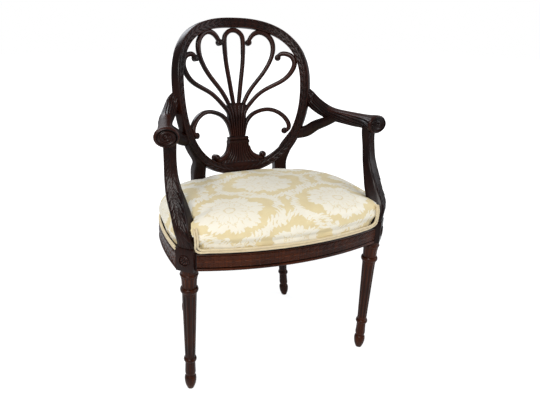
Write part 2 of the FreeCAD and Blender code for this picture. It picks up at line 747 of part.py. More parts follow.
def welt(arcs, clear):
    """Two cords, one on the other, sewn along the foot of the cushion."""
    r = size("welt_round")
    low = size("rail_top") + gap + r
    cords = []
    for z in (low, low + 2 * r + 0.05):
        whole = cord(arcs[0], z)
        for arc in arcs[1:]:
            whole = whole.fuse(cord(arc, z))
        cords.append(largest(whole.cut(clear)))
    return Part.makeCompound(cords)


front_arc, flank_arc, rear_arc = plan_arcs()
posts = blocks + [support_shape(0.4), mirrored(support_shape(0.4))]
feature("welt_front", welt([front_arc], posts))
pair("welt_side", welt([flank_arc, rear_arc], [posts[0], posts[2], stile_loft(0.4)]))
r = size("welt_round")
back_cords = []
for z in (top + gap + r, top + gap + 3 * r + 0.05):
    reach = size("rear_leg_x")
    bar = Part.makeCylinder(r, 2 * reach, V(-reach, size("seat_back_y") - gap, z), V(1, 0, 0))
    back_cords.append(largest(bar.cut([stile_loft(0.4), mirrored(stile_loft(0.4))])))
feature("welt_back", Part.makeCompound(back_cords))


def strap(across, centre, z):
    """Webbing strap laid over the whole seat, later trimmed to the rebate."""
    width, thick_web = size("web_width"), size("web_thickness")
    if across:
        return Part.makeBox(800, width, thick_web, V(-400, centre - width / 2, z))
    return Part.makeBox(width, 800, thick_web, V(centre - width / 2, -400, z))


web_z = top - size("rebate_depth")
web_area = plan_slab(thick - size("rebate_width") + gap, web_z, top + 1).cut(legs)
pitch = size("web_spacing")
long_straps = [strap(False, k * pitch, web_z).common(web_area) for k in range(-2, 3)]
cross_straps = [strap(True, k * pitch + size("cushion_middle_y") - 10, web_z + size("web_thickness")).common(web_area)
                for k in range(-2, 3)]
for name, straps in (("webbing_long", long_straps), ("webbing_cross", cross_straps)):
    feature(name, Part.makeCompound([largest(s) for s in straps]))

dust = plan_slab(size("dust_inset"), bottom - size("dust_thickness"), bottom)
for leg_side in (1, -1):
    reach = size("block_side") * 0.72
    dust = dust.cut(Part.makeBox(2 * reach, 2 * reach, 4, V(leg_side * size("front_leg_x") - reach,
                                                           size("front_leg_y") - reach, bottom - 2)))
    half = size("stile_width") / 2 + 4
    dust = dust.cut(Part.makeBox(2 * half, 2 * half, 4, V(
        leg_side * (size("rear_leg_x") + 7) - half, size("rear_leg_y") - half, bottom - 2)))
feature("dust_cover", largest(dust))

inner = plan_slab(thick, bottom + size("brace_drop"), web_z - size("brace_drop"))
for name, x, y, turn in (("front", size("front_leg_x"), size("front_leg_y"), 45),
                         ("rear", size("rear_leg_x"), size("rear_leg_y"), -45)):
    reach = size("brace_reach")
    slab = Part.makeBox(2 * reach, 2 * reach, 100, V(-reach, -reach, 0))
    slab.Placement = FreeCAD.Placement(V(x, y, bottom), FreeCAD.Rotation(V(0, 0, 1), turn))
    pair("corner_block_" + name, largest(inner.common(slab).cut(legs)))

doc.recompute()

os.makedirs("parts", exist_ok=True)
for obj in NODES:
    if obj.State and any(word in obj.State for word in ("Invalid", "Error")):
        raise RuntimeError("%s is %s" % (obj.Label, obj.State))
    shape = obj.Shape
    if shape.isNull() or not shape.isValid():
        raise RuntimeError("%s has no valid shape" % obj.Label)
    print(obj.Label, len(shape.Solids), round(shape.Volume), [round(x, 1) for x in (
        shape.BoundBox.XMin, shape.BoundBox.XMax, shape.BoundBox.YMin, shape.BoundBox.YMax,
        shape.BoundBox.ZMin, shape.BoundBox.ZMax)])
    shape.exportStep("parts/%s.step" % obj.Label)
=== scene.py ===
import math

import bpy
import numpy as np
from mathutils import Matrix, Vector


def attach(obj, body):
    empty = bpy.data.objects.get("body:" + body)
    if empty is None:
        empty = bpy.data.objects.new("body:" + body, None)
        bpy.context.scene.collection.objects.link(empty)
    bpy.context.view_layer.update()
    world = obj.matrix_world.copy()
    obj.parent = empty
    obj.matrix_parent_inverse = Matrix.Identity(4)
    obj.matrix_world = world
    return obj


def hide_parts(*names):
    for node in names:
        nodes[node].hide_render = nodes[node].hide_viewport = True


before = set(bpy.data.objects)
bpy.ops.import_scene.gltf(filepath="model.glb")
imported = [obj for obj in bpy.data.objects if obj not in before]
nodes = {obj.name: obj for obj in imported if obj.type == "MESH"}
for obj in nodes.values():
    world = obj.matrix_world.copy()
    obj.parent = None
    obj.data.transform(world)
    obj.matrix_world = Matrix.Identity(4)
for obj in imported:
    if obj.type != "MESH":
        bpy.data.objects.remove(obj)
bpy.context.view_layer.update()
bpy.ops.object.select_all(action="DESELECT")

# Lengths are in millimetres, apart from those of materials, the cushion's cover and the stage, which
# are in metres. MM turns millimetres into metres as a mesh is laid out.
MM = 0.001
MERGE = 0.02

# Frame of the chair, as the solids have it. The curved back lies on a drum that is raked back.
AXIS, RAKE, BASE_Y, BASE_Z = 300.0, math.radians(10), 149.4, 430.0
HOOP_FACE, HOOP_DEPTH, HOOP_WIDTH = 296.0, 26.0, 28.0
SPLAT_FACE, STRAND_DEPTH, PLATE_DEPTH = 300.0, 13.5, 14.0
# Centre line of the hoop: half width, half heights above and below OVAL_V, and a power for each.
HALF_WIDE, RISE, DROP, OVAL_V = 219.0, 187.0, 266.0, 330.0
RISE_POWER, DROP_POWER = 2.27, 2.15
LEG_X, LEG_Y, BLOCK_SIZE = 269.5, -194.0, 48.0
REAR_FOOT_X, REAR_SEAT_X, REAR_Y = 187.0, 142.0, 157.5
REAR_LEAN = (REAR_FOOT_X - REAR_SEAT_X) / BASE_Z
RAIL_LOW, RAIL_TOP, BLOCK_TOP = 362.0, 410.0, 424.0
CORD_RADIUS, CORD_PULL, CORD_Z = 2.9, 0.2, (RAIL_TOP + 3.2, RAIL_TOP + 9.05)
ARM_Z, KNOB_X, KNOB_Y = 676.0, 300.5, -123.0
# Both start at +X: the solids' names call that side right, and the splat's pieces left_hand.
SIDES = (("right", 1), ("left", -1))
HANDS = (("left_hand", 1), ("right_hand", -1))


# Mesh tools
def pick(*objects):
    """Selects these objects alone and makes the first of them active."""
    bpy.ops.object.select_all(action="DESELECT")
    for obj in objects:
        obj.select_set(True)
    bpy.context.view_layer.objects.active = objects[0]


def settle(obj, smooth_angle):
    """Closes seams and poles, turns faces outwards and smooths."""
    pick(obj)
    bpy.ops.object.mode_set(mode="EDIT")
    bpy.ops.mesh.select_all(action="SELECT")
    bpy.ops.mesh.remove_doubles(threshold=MERGE * MM)
    bpy.ops.mesh.select_all(action="DESELECT")
    bpy.ops.mesh.select_non_manifold(extend=False)
    bpy.ops.mesh.fill_holes(sides=0)
    bpy.ops.mesh.select_all(action="SELECT")
    bpy.ops.mesh.normals_make_consistent(inside=False)
    bpy.ops.object.mode_set(mode="OBJECT")
    bpy.ops.object.shade_smooth_by_angle(angle=math.radians(smooth_angle))
    bpy.ops.object.select_all(action="DESELECT")
    return obj


def joined(name, parts):
    """One object from several."""
    pick(*parts)
    bpy.ops.object.join()
    whole = bpy.context.object
    whole.name = whole.data.name = name
    bpy.ops.object.select_all(action="DESELECT")
    return whole


def vertex_rows(obj, what="co"):
    """Places or normals of a mesh's vertices, one row each."""
    values = np.empty(len(obj.data.vertices) * 3)
    obj.data.vertices.foreach_get(what, values)
    return values.reshape(-1, 3)


def set_vertices(obj, points):
    obj.data.vertices.foreach_set("co", points.ravel())
    obj.data.update()


def mark_carving(obj, values):
    """Stores for the wood how high each vertex stands in the carving, from 0 to 1; the wood paints low
    values darker as shade, and high values lighter as wear.
    """
    carve = obj.data.attributes.new("carve", "FLOAT", "POINT")
    carve.data.foreach_set("value", np.broadcast_to(values, len(obj.data.vertices)).astype(np.float32))


def lay_out(name, along, around, place, smooth_angle=40):
    """A grid laid over a form: place(i, j) gives the points (mm) and a relief value from 0 to 1."""
    bpy.ops.mesh.primitive_grid_add(x_subdivisions=along, y_subdivisions=around, size=2)
    obj = bpy.context.object
    obj.name = obj.data.name = name
    flat = vertex_rows(obj)
    i = np.rint((flat[:, 0] + 1) / 2 * along).astype(int)
    j = np.rint((flat[:, 1] + 1) / 2 * around).astype(int)
    points, relief = place(i, j)
    set_vertices(obj, points * MM)
    mark_carving(obj, relief)
    return settle(obj, smooth_angle)


def unit(v):
    return v / np.maximum(np.linalg.norm(v, axis=-1, keepdims=True), 1e-9)


def tangents(p):
    return unit(np.gradient(p, axis=0))


def arc_length(p):
    return np.concatenate([[0], np.cumsum(np.linalg.norm(np.diff(p, axis=0), axis=1))])


def share(x):
    """x held between 0 and 1."""
    return np.clip(x, 0, 1)


def between(x, low, high, fade):
    """1 from low to high, fading to 0 at both ends."""
    return share(np.minimum(x - low, high - x) / fade)


def ridge(x, middle, half, power=2):
    """1 at the middle, falling off to both sides; a higher power gives a flatter top."""
    return np.exp(-((x - middle) / half) ** power)


def spline(stations, count):
    """Smooth curve through rows of numbers, evenly sampled along the length of its first 3 columns."""
    p = np.array(stations, float)
    d = np.linalg.norm(np.diff(p[:, :3], axis=0), axis=1)
    t = np.concatenate([[0], np.cumsum(np.sqrt(d) * np.sqrt(d.mean()))])
    n = len(p)
    h = np.diff(t)
    a = np.zeros((n, n))
    b = np.zeros_like(p)
    for k in range(1, n - 1):
        a[k, k - 1], a[k, k], a[k, k + 1] = h[k], 2 * (h[k - 1] + h[k]), h[k - 1]
        b[k] = 3 * (h[k] * (p[k] - p[k - 1]) / h[k - 1] + h[k - 1] * (p[k + 1] - p[k]) / h[k])
    a[0, 0], a[0, 1] = 2, 1
    b[0] = 3 * (p[1] - p[0]) / h[0]
    a[-1, -1], a[-1, -2] = 2, 1
    b[-1] = 3 * (p[-1] - p[-2]) / h[-1]
    m = np.linalg.solve(a, b)
    fine = np.linspace(0, t[-1], 40 * n)
    length = arc_length(at(p, m, t, fine)[:, :3])
    return at(p, m, t, np.interp(np.linspace(0, length[-1], count), length, fine))


def at(p, m, t, x):
    """Cubic through the points p with the slopes m at the knots t, read at x."""
    k = np.clip(np.searchsorted(t, x, side="right") - 1, 0, len(t) - 2)
    h = (t[k + 1] - t[k])[:, None]
    s = ((x - t[k])[:, None]) / h
    return ((2 * s**3 - 3 * s**2 + 1) * p[k] + (s**3 - 2 * s**2 + s) * h * m[k]
            + (-2 * s**3 + 3 * s**2) * p[k + 1] + (s**3 - s**2) * h * m[k + 1])


def drum(u, v, r):
    """Point of the curved back: arc length u, height v up the rake, radius r."""
    a = u / AXIS
    n = r * np.cos(a) - AXIS
    return np.stack([r * np.sin(a), BASE_Y + n * math.cos(RAKE) + v * math.sin(RAKE),
                     BASE_Z - n * math.sin(RAKE) + v * math.cos(RAKE)], -1)


def oval(count):
    """Centre line of the hoop from its lowest point round by the sitter's left, evenly spaced."""
    t = np.linspace(-math.pi / 2, 1.5 * math.pi, 6001)
    c, s = np.cos(t), np.sin(t)
    full = np.where(s >= 0, RISE_POWER, DROP_POWER)
    tall = np.where(s >= 0, RISE, DROP)
    uv = np.stack([HALF_WIDE * np.sign(c) * np.abs(c) ** (2 / full),
                   OVAL_V + tall * np.sign(s) * np.abs(s) ** (2 / full)], -1)
    s = arc_length(uv)
    even = np.linspace(0, s[-1], count)
    return np.stack([np.interp(even, s, uv[:, 0]), np.interp(even, s, uv[:, 1])], -1), even, s[-1]


def leaf(a, b, length, width):
    """Height of one pointed leaf: a runs from its stem, b lies across it."""
    x = np.clip(a / length, 0.001, 0.999)
    half = width / 2 * np.sin(math.pi * x**0.7) ** 0.8
    y = b / np.maximum(half, 0.05)
    body = np.sqrt(share(1 - y**2)) * (0.55 + 0.45 * x)
    rib = 0.3 * ridge(b, 0, 0.07 * width) * (1 - x)
    veins = 0.1 * np.abs(np.sin(5 * math.pi * x - 2.2 * np.abs(y)))
    inside = (a > 0) & (a < length) & (np.abs(y) < 1)
    return np.where(inside, body - rib - veins * body, 0)


def garland(s, w, pitch, half):
    """Overlapping leaves in threes along s, within w = -half to half."""
    out = np.zeros_like(s)
    k0 = np.floor(s / pitch)
    for step in range(-3, 1):
        base = (k0 + step) * pitch
        for side in (-1, 1):
            lean = math.radians(24) * side
            a = (s - base) * math.cos(lean) + w * math.sin(lean)
            b = -(s - base) * math.sin(lean) + w * math.cos(lean)
            out = np.maximum(out, leaf(a, b, 1.9 * pitch, 0.8 * half))
        out = np.maximum(out, 1.08 * leaf(s - base - 0.5 * pitch, w, 1.55 * pitch, 0.75 * half))
    return out


# Materials
class Value:
    """A number carried through math nodes."""

    def __init__(self, tree, socket):
        self.tree, self.socket = tree, socket

    def op(self, kind, *others):
        node = self.tree.nodes.new("ShaderNodeMath")
        node.operation = kind
        for slot, item in enumerate((self,) + others):
            if isinstance(item, Value):
                self.tree.links.new(item.socket, node.inputs[slot])
            else:
                node.inputs[slot].default_value = item
        return Value(self.tree, node.outputs[0])

    def __add__(self, o): return self.op("ADD", o)
    def __sub__(self, o): return self.op("SUBTRACT", o)
    def __mul__(self, o): return self.op("MULTIPLY", o)
    def abs(self): return self.op("ABSOLUTE")
    def sin(self): return self.op("SINE")
    def cos(self): return self.op("COSINE")
    def max(self, o): return self.op("MAXIMUM", o)

    def ramp(self, low, high):
        """0 below low, 1 above high, smooth between."""
        node = self.tree.nodes.new("ShaderNodeMapRange")
        node.interpolation_type = "SMOOTHSTEP"
        self.tree.links.new(self.socket, node.inputs[0])
        node.inputs[1].default_value, node.inputs[2].default_value = low, high
        return Value(self.tree, node.outputs[0])

    def wrap(self, period):
        """Distance from the nearest multiple of the period, signed."""
        return self.op("WRAP", period / 2, -period / 2)


def new_material(name):
    mat = bpy.data.materials.new(name)
    mat.use_nodes = True
    tree = mat.node_tree
    shader = tree.nodes["Principled BSDF"]
    return mat, tree, shader


def fill(node, values):
    for key, value in values.items():
        node.inputs[key].default_value = value


def noise_node(tree, vector, scale, detail, rough=0.5):
    node = tree.nodes.new("ShaderNodeTexNoise")
    fill(node, {"Scale": scale, "Detail": detail, "Roughness": rough})
    tree.links.new(vector, node.inputs["Vector"])
    return node


def noise(tree, vector, scale, detail, rough=0.5):
    return Value(tree, noise_node(tree, vector, scale, detail, rough).outputs["Fac"])


def split_xy(tree, vector):
    node = tree.nodes.new("ShaderNodeSeparateXYZ")
    tree.links.new(vector, node.inputs[0])
    return Value(tree, node.outputs[0]), Value(tree, node.outputs[1])


def stretched(tree, vector, scale):
    node = tree.nodes.new("ShaderNodeMapping")
    node.inputs["Scale"].default_value = scale
    tree.links.new(vector, node.inputs["Vector"])
    return node.outputs[0]


def mix(tree, factor, low, high):
    """Colour between low and high; each is a colour or a socket."""
    node = tree.nodes.new("ShaderNodeMix")
    node.data_type = "RGBA"
    tree.links.new(factor.socket, node.inputs[0])
    for slot, colour in ((6, low), (7, high)):
        if isinstance(colour, tuple):
            node.inputs[slot].default_value = (*colour, 1)
        else:
            tree.links.new(colour, node.inputs[slot])
    return node.outputs[2]


def bump(tree, height, distance, strength):
    node = tree.nodes.new("ShaderNodeBump")
    fill(node, {"Distance": distance, "Strength": strength})
    tree.links.new(height.socket, node.inputs["Height"])
    return node.outputs[0]


def object_coords(tree):
    return tree.nodes.new("ShaderNodeTexCoord").outputs["Object"]


def mahogany(name, dark, mid, grain_axis, carved, roughness=0.32):
    """Dark polished wood: long grain, worn high points and painted shade in the recesses where it is carved.
    """
    mat, tree, shader = new_material(name)
    coords = object_coords(tree)
    stretch = [1.0, 1.0, 1.0]
    stretch[grain_axis] = 0.07
    grain = noise(tree, stretched(tree, coords, stretch), 260, 5, 0.6)
    cloud = noise(tree, coords, 9, 2)
    tone = (grain * 0.6 + cloud * 0.55).ramp(0.35, 0.85)
    colour = mix(tree, tone, dark, mid)
    if carved:
        attribute = tree.nodes.new("ShaderNodeAttribute")
        attribute.attribute_name = "carve"
        height = Value(tree, attribute.outputs["Fac"])
        worn = (height + (cloud - 0.5) * 0.4).ramp(0.7, 1.1)
        colour = mix(tree, worn, colour, tuple(1.7 * c + 0.002 for c in mid))
        # Painted shade: where the carving is low, in grooves and recesses, the colour goes down towards a
        # third of the dark tone.
        deep = height.ramp(0.0, 0.45)
        colour = mix(tree, deep, tuple(0.35 * c for c in dark), colour)
    tree.links.new(colour, shader.inputs["Base Color"])
    shade = grain * 0.12 + cloud * 0.1
    tree.links.new((shade + (roughness - 0.1)).socket, shader.inputs["Roughness"])
    fill(shader, {"Specular IOR Level": 0.16, "Coat Weight": 0.07, "Coat Roughness": 0.16})
    tree.links.new(bump(tree, grain, 0.00006, 0.4), shader.inputs["Normal"])
    return mat


WOOD_DARK = (0.0032, 0.0008, 0.0005)
WOOD_MID = (0.022, 0.0044, 0.0018)
wood = {
    "upright": mahogany("mahogany_upright", WOOD_DARK, WOOD_MID, 2, False),
    "across": mahogany("mahogany_across", WOOD_DARK, WOOD_MID, 0, False),
    "carved": mahogany("mahogany_carved", WOOD_DARK, WOOD_MID, 2, True, 0.30),
    "leg": mahogany("mahogany_leg", (0.010, 0.0022, 0.0006), (0.070, 0.0140, 0.0018), 2, True, 0.30),
}


def plain_cloth(name, low, high, scale, rough=0.9, detail=4, sheen=0.2, finer=6, height=0.0004):
    """Cloth or plain wood: a cloudy tone, and a weave that is finer than the clouds."""
    mat, tree, shader = new_material(name)
    coords = object_coords(tree)
    tree.links.new(mix(tree, noise(tree, coords, scale, detail), low, high), shader.inputs["Base Color"])
    fill(shader, {"Roughness": rough, "Sheen Weight": sheen})
    weave = noise(tree, coords, scale * finer, 1)
    tree.links.new(bump(tree, weave, height, 0.5), shader.inputs["Normal"])
    return mat


beech = plain_cloth("pale_beech", (0.30, 0.19, 0.10), (0.45, 0.31, 0.18), 30, 0.6)
jute = plain_cloth("jute_web", (0.30, 0.21, 0.11), (0.48, 0.36, 0.21), 200)
dust = plain_cloth("black_dust_cloth", (0.012, 0.012, 0.012), (0.03, 0.03, 0.03), 300)
welt_cloth = plain_cloth("cream_cord", (0.60, 0.47, 0.28), (0.78, 0.68, 0.46), 120, rough=0.75,
                         detail=3, sheen=0.25, finer=12.5, height=0.0003)


def damask():
    """Silk damask: ivory flowers and leaves on a gold ground, in a half drop repeat."""
    mat, tree, shader = new_material("gold_damask")
    layer = tree.nodes.new("ShaderNodeUVMap")
    layer.uv_map = "cloth"
    cloth = layer.outputs[0]
    across, down = split_xy(tree, cloth)
    x, y = across + 0.009, down + 0.039
    for scale, reach in ((42, 0.014), (170, 0.008)):
        stir_x, stir_y = split_xy(tree, noise_node(tree, cloth, scale, 2).outputs["Color"])
        x = x + (stir_x - 0.5) * reach
        y = y + (stir_y - 0.5) * reach
    wide, tall = 0.31, 0.30
    masks = []
    for dx, dy in ((0.0, 0.0), (wide / 2, tall / 2)):
        px, py = (x + dx).wrap(wide), (y + dy).wrap(tall)
        r = (px * px + py * py * 1.6).op("SQRT")
        turn = py.op("ARCTAN2", px)
        petals = (turn * 4.0).cos().abs().op("POWER", 0.55)
        edge = petals * 0.024 + (turn * 20.0).sin().abs() * 0.010 + 0.060
        flower = (edge - r).ramp(-0.0012, 0.0012)
        veins = ((turn * 8.0).sin().abs() * -1.0 + 1.0 + (r * 240.0).sin() * 0.12).ramp(0.86, 0.97)
        eye = (r * -1.0 + 0.0105).ramp(-0.001, 0.001)
        ring = ((r - 0.0135).abs() * -1.0 + 0.0018).ramp(-0.0006, 0.0006)
        inner = ((r - edge * 0.58).abs() * -1.0 + 0.0016).ramp(-0.0006, 0.0006)
        line = veins.max(ring).max(inner) * (eye * -1.0 + 1.0)
        masks.append(flower * (line * -0.7 + 1.0))
        lobes = (turn * 5.0 + 0.6).sin().abs().op("POWER", 0.8)
        halo = (r - (lobes * 0.020 + 0.118)).abs()
        leafy = ((turn * 27.0 + r * 230.0).sin().abs() * 0.013 + 0.0005)
        masks.append((leafy - halo).ramp(-0.001, 0.001))
        stem = (px.abs() - (py * 23.0).sin().abs() * 0.02 - 0.012).abs()
        spray = ((py * 190.0 + px * 60.0).sin() * 0.003 + 0.0028 - stem).ramp(-0.0008, 0.0008)
        far = (py.abs() - 0.075).ramp(0.0, 0.004)
        masks.append(spray * far)
    motif = masks[0]
    for mask in masks[1:]:
        motif = motif.max(mask)
    shade = noise(tree, cloth, 30, 2)
    ivory = mix(tree, shade, (0.88, 0.83, 0.70), (0.95, 0.92, 0.82))
    gold = mix(tree, shade, (0.72, 0.58, 0.31), (0.84, 0.72, 0.44))
    tree.links.new(mix(tree, motif * 0.85, gold, ivory), shader.inputs["Base Color"])
    tree.links.new((motif * -0.12 + 0.62).socket, shader.inputs["Roughness"])
    fill(shader, {"Sheen Weight": 0.25, "Sheen Roughness": 0.4})
    thread = 5200.0
    weave = (across * thread).sin() * 0.5 + (down * thread).sin() * 0.5
    tree.links.new(bump(tree, weave * 0.12 + motif, 0.0004, 0.5), shader.inputs["Normal"])
    return mat


def dress(obj, mat, slot, *stands_for):
    """Gives a piece its look, hides the solids that it stands for and hangs it from the root; slot is not
    used.
    """
    obj.data.materials.clear()
    obj.data.materials.append(mat)
    if stands_for:
        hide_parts(*stands_for)
    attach(obj, "root")


ACROSS = ("crest_rail", "lower_back_rail", "front_rail", "back_rail")
PLAIN = {"corner_block": beech, "webbing": jute, "dust_cover": dust}
for label, node in nodes.items():
    timber = wood["across" if label in ACROSS else "upright"]
    choice = next((look for start, look in PLAIN.items() if label.startswith(start)), timber)
    node.data.materials.clear()
    node.data.materials.append(choice)


# Curved back
def hoop():
    """The whole oval hoop: raised rims along both edges and a band of leaves between them."""
    along, last_front = 1500, 40
    field_half, rim_middle, rim_half = 9.6, 11.6, 1.9
    centre, s, total = oval(along + 1)
    tangent = tangents(centre)
    tangent[0] = tangent[-1] = unit(centre[1] - centre[-2])
    normal = np.stack([tangent[:, 1], -tangent[:, 0]], -1)
    half = HOOP_WIDTH / 2
    face = np.linspace(half - 0.5, -half + 0.5, last_front + 1)
    wall = [(0, -1.2), (0, -8), (0, -17), (0.8, -22), (3.5, -25), (8, -HOOP_DEPTH)]
    ring = [(w, 0.0) for w in face] + [(w - half, h) for w, h in wall]
    ring += [(half - w, h) for w, h in wall[::-1]]
    ring = np.array(ring + ring[:1])
    around = len(ring) - 1

    def place(i, j):
        w, h = ring[j, 0], ring[j, 1]
        from_bottom = np.minimum(s[i], total - s[i])
        front = (j % around) <= last_front
        rim = ridge(np.abs(w), rim_middle, rim_half, 4)
        field = np.abs(w) < field_half
        relief = np.where(field, garland(from_bottom, w, pitch=21.0, half=10.5), 0)
        lift = np.where(front, np.where(field, 0.4 + 1.7 * relief, 2.3 * rim), 0)
        u = centre[i, 0] + normal[i, 0] * w
        v = centre[i, 1] + normal[i, 1] * w
        mark = np.where(front, np.where(field, relief, 0.25 + 0.65 * rim), 0.5)
        return drum(u, v, HOOP_FACE - (h + lift)), mark

    return lay_out("carved_hoop", along, around, place)


def strand(name, path, count=260, depth=STRAND_DEPTH, face=SPLAT_FACE):
    """A splat strand with a rounded face, laid on the drum; its path gives u, v and its width."""
    line = spline([(u, v, 0, wide) for u, v, wide in path], count)
    uv, wide = line[:, :2], line[:, 3]
    tangent = tangents(uv)
    normal = np.stack([-tangent[:, 1], tangent[:, 0]], -1)
    around, trunk_top, blend, stand_out = 24, 282, 50, 4.5
    q = np.linspace(0, 2 * math.pi, around + 1)
    x = np.sign(np.cos(q)) * np.abs(np.cos(q)) ** 0.75
    y = np.where(np.sin(q) > 0, np.sin(q), np.sign(np.sin(q)) * np.abs(np.sin(q)) ** 0.45)

    def place(i, j):
        w = x[j] * wide[i] / 2
        h = np.where(y[j] > 0, y[j] * depth * 0.45, y[j] * depth * 0.55) - depth * 0.45
        # Where the strands run together in the trunk their faces stand out further.
        near = share((trunk_top - uv[i, 1]) / blend) * (face == SPLAT_FACE)
        h = h + np.where(y[j] > -0.2, stand_out * near * near * (3 - 2 * near), 0)
        u, v = uv[i, 0] + normal[i, 0] * w, uv[i, 1] + normal[i, 1] * w
        return drum(u, v, face - h), 0.5 + 0.4 * y[j]

    return lay_out(name, count - 1, around, place, 60)


def facing(path, way):
    """A path of the sitter's left side, or its mirror image."""
    return [(way * u, v, wide) for u, v, wide in path]


CENTRE_RISE = [(3.4, 172, 6), (4, 200, 7), (5, 225, 8), (6.8, 250, 9.5), (8.6, 272, 11.5), (11.5, 292, 13),
               (15.5, 320, 13), (21.5, 360, 13), (27, 400, 13), (29.6, 440, 13.5)]
LOOP_R, LOOP_V = 29.5, 466.0
LOOP_TOP = [(LOOP_R * math.cos(math.radians(a)), LOOP_V + LOOP_R * math.sin(math.radians(a)), 14)
            for a in range(15, 166, 25)]
INNER_LOBE = [(9.8, 172, 6), (11.5, 200, 7), (14, 225, 8.5), (17.5, 248, 10), (24, 270, 12), (34, 291, 13),
              (53, 320, 13), (86.8, 360, 13), (112.5, 400, 13.5), (122.5, 432, 14.5), (118.5, 462, 15.5),
              (100, 483, 16), (78, 488.5, 15.5), (59, 478.5, 14), (49, 464, 12)]
OUTER_LOBE = [(16, 172, 6), (18.5, 200, 7), (22, 225, 9), (28, 247, 11), (42, 267, 13), (75, 300, 13),
              (112.5, 321, 13.5), (152, 340, 14), (176, 362, 15), (187.5, 388, 15.5), (179.5, 409.5, 15.5),
              (162, 419, 14.5), (147, 419.5, 13.5), (138, 413, 12)]
C_SCROLL = [(22, 172, 6), (25.5, 192, 8), (30.5, 211, 11), (40, 227, 13), (57, 240.5, 13), (97, 250.5, 13),
            (133, 240, 13.5), (157, 218, 14), (166, 193, 13.5), (158, 181, 12)]
SCROLL_EAR = [(35, 138, 7), (38.5, 124, 10), (46, 112, 13), (58, 103, 15), (72, 99.5, 15), (82, 103, 13)]


def plate(name, outline, front, flutes, fan):
    """Fluted plate of the splat: outline gives its half width at heights v; front is its projection."""
    rows = spline([(v, w, 0) for v, w in outline], 120)
    v_rows, half_rows = rows[:, 0], rows[:, 1]
    p = np.linspace(-1, 1, 121)
    loop = [(a, 0) for a in p] + [(1, -0.4), (1, -1), (0, -1), (-1, -1), (-1, -0.4)]
    loop = np.array(loop + loop[:1])
    round_edge = 2.0

    def place(i, j):
        a, back = loop[j, 0], loop[j, 1]
        half = half_rows[i]
        wave = np.abs(np.sin(0.5 * math.pi * (flutes * a + (flutes % 2))))
        rise = (v_rows[i] - v_rows[0]) / (v_rows[-1] - v_rows[0])
        ends = between(rise, 0, 1, 0.06) ** 0.5
        edge = share((1 - np.abs(a)) * half / round_edge) ** 0.5
        high = front * (0.55 + 0.45 * edge) - fan * (1 - wave**0.7) * ends
        high = high * edge + front * 0.3 * (1 - edge)
        h = np.where(back < 0, np.where(back == -1, -PLATE_DEPTH, front * 0.3), high)
        return drum(a * half, v_rows[i], SPLAT_FACE - h), np.where(back < 0, 0.4, 0.15 + 0.75 * wave)

    return lay_out(name, len(rows) - 1, len(loop) - 1, place, 50)


TRUNK = [(166, 24), (180, 24.5), (195, 26), (210, 28.5), (225, 29), (240, 30), (252, 33), (262, 35),
         (269, 30), (275, 22)]
BELL = [(88, 66), (94, 65), (100, 58), (106, 50), (114, 43), (124, 38.5), (134, 36), (142, 35), (150, 34)]
FOOT = [(64, 78), (70, 82), (78, 84), (86, 83), (93, 78), (97, 72)]


def button(name, u, v, radius, way, front):
    """Rolled end of a strand: a small drum with a spiral on its face."""
    rings, domed, around = 34, 26, 64

    def place(i, j):
        r = np.minimum(i / domed, 1.0)
        a = 2 * math.pi * j / around
        roll = 0.5 + 0.5 * np.cos(way * a + 2 * math.pi * 1.3 * r)
        dome = np.sqrt(share(1.02 - r ** 2.4))
        h = front * 1.6 * dome - 1.6 * (1 - roll) ** 2 * share((r - 0.25) * 5) * dome
        h = np.where(i > domed, -STRAND_DEPTH * (i - domed) / (rings - domed), h)
        spot = drum(u + r * radius * np.cos(a), v + r * radius * np.sin(a), SPLAT_FACE - h)
        return spot, 0.3 + 0.6 * roll

    return lay_out(name, rings, around, place, 55)


# Rolled ends of the splat: u, v, radius and how far they stand out.
ROLLED_ENDS = ((47, 458, 9.5, 1.5), (136.5, 409, 9.5, 1.5), (151.5, 181, 9.8, 1.5), (80, 108, 10.5, 8.5))


def band(name, low, high, half, front):
    """Plain moulded band across the foot of the trunk."""
    q = np.linspace(0, math.pi, 15)
    profile = [(0.5 * (low + high) - 0.5 * (high - low) * math.cos(a),
                front * (0.6 + 0.4 * math.sin(a) ** 0.5)) for a in q]
    loop = profile + [(high, -PLATE_DEPTH), (low, -PLATE_DEPTH)]
    loop = np.array(loop + loop[:1])
    across = np.linspace(-half, half, 41)

    def place(i, j):
        return drum(across[i], loop[j, 0], SPLAT_FACE - loop[j, 1]), np.full(len(i), 0.6)

    return lay_out(name, len(across) - 1, len(loop) - 1, place)


def pearls():
    """Row of small pearls round the collar."""
    bpy.ops.mesh.primitive_uv_sphere_add(segments=16, ring_count=10, radius=1)
    seed = bpy.context.object
    parts = []
    for k in range(13):
        spot = drum((k - 6) * 5.0, 164.0, SPLAT_FACE - 9.3) * MM
        copy = seed.copy()
        copy.data = seed.data.copy()
        bpy.context.collection.objects.link(copy)
        copy.data.transform(Matrix.Translation(Vector(spot)) @ Matrix.Scale(2.6 * MM, 4))
        parts.append(copy)
    bpy.data.objects.remove(seed)
    row = joined("pearl_row", parts)
    mark_carving(row, 0.85)
    return settle(row, 60)


hoop_piece = hoop()
centre_loop = CENTRE_RISE + LOOP_TOP + facing(CENTRE_RISE, -1)[::-1]
splat_pieces = [strand("centre_loop", centre_loop, count=420)]
for hand, way in HANDS:
    splat_pieces.append(strand("inner_lobe_" + hand, facing(INNER_LOBE, way), count=330))
    splat_pieces.append(strand("outer_lobe_" + hand, facing(OUTER_LOBE, way), count=330))
    splat_pieces.append(strand("c_scroll_" + hand, facing(C_SCROLL, way)))
splat_pieces.append(plate("wheatsheaf_ground", TRUNK, front=0.6, flutes=1, fan=0.0))
splat_pieces.append(plate("fluted_bell", BELL, front=9.0, flutes=11, fan=3.0))
splat_pieces.append(plate("bell_foot", FOOT, front=5.0, flutes=1, fan=0.0))
for hand, way in HANDS:
    for k, (u, v, radius, front) in enumerate(ROLLED_ENDS):
        splat_pieces.append(button("rolled_end_%d_%s" % (k, hand), way * u, v, radius, way, front))
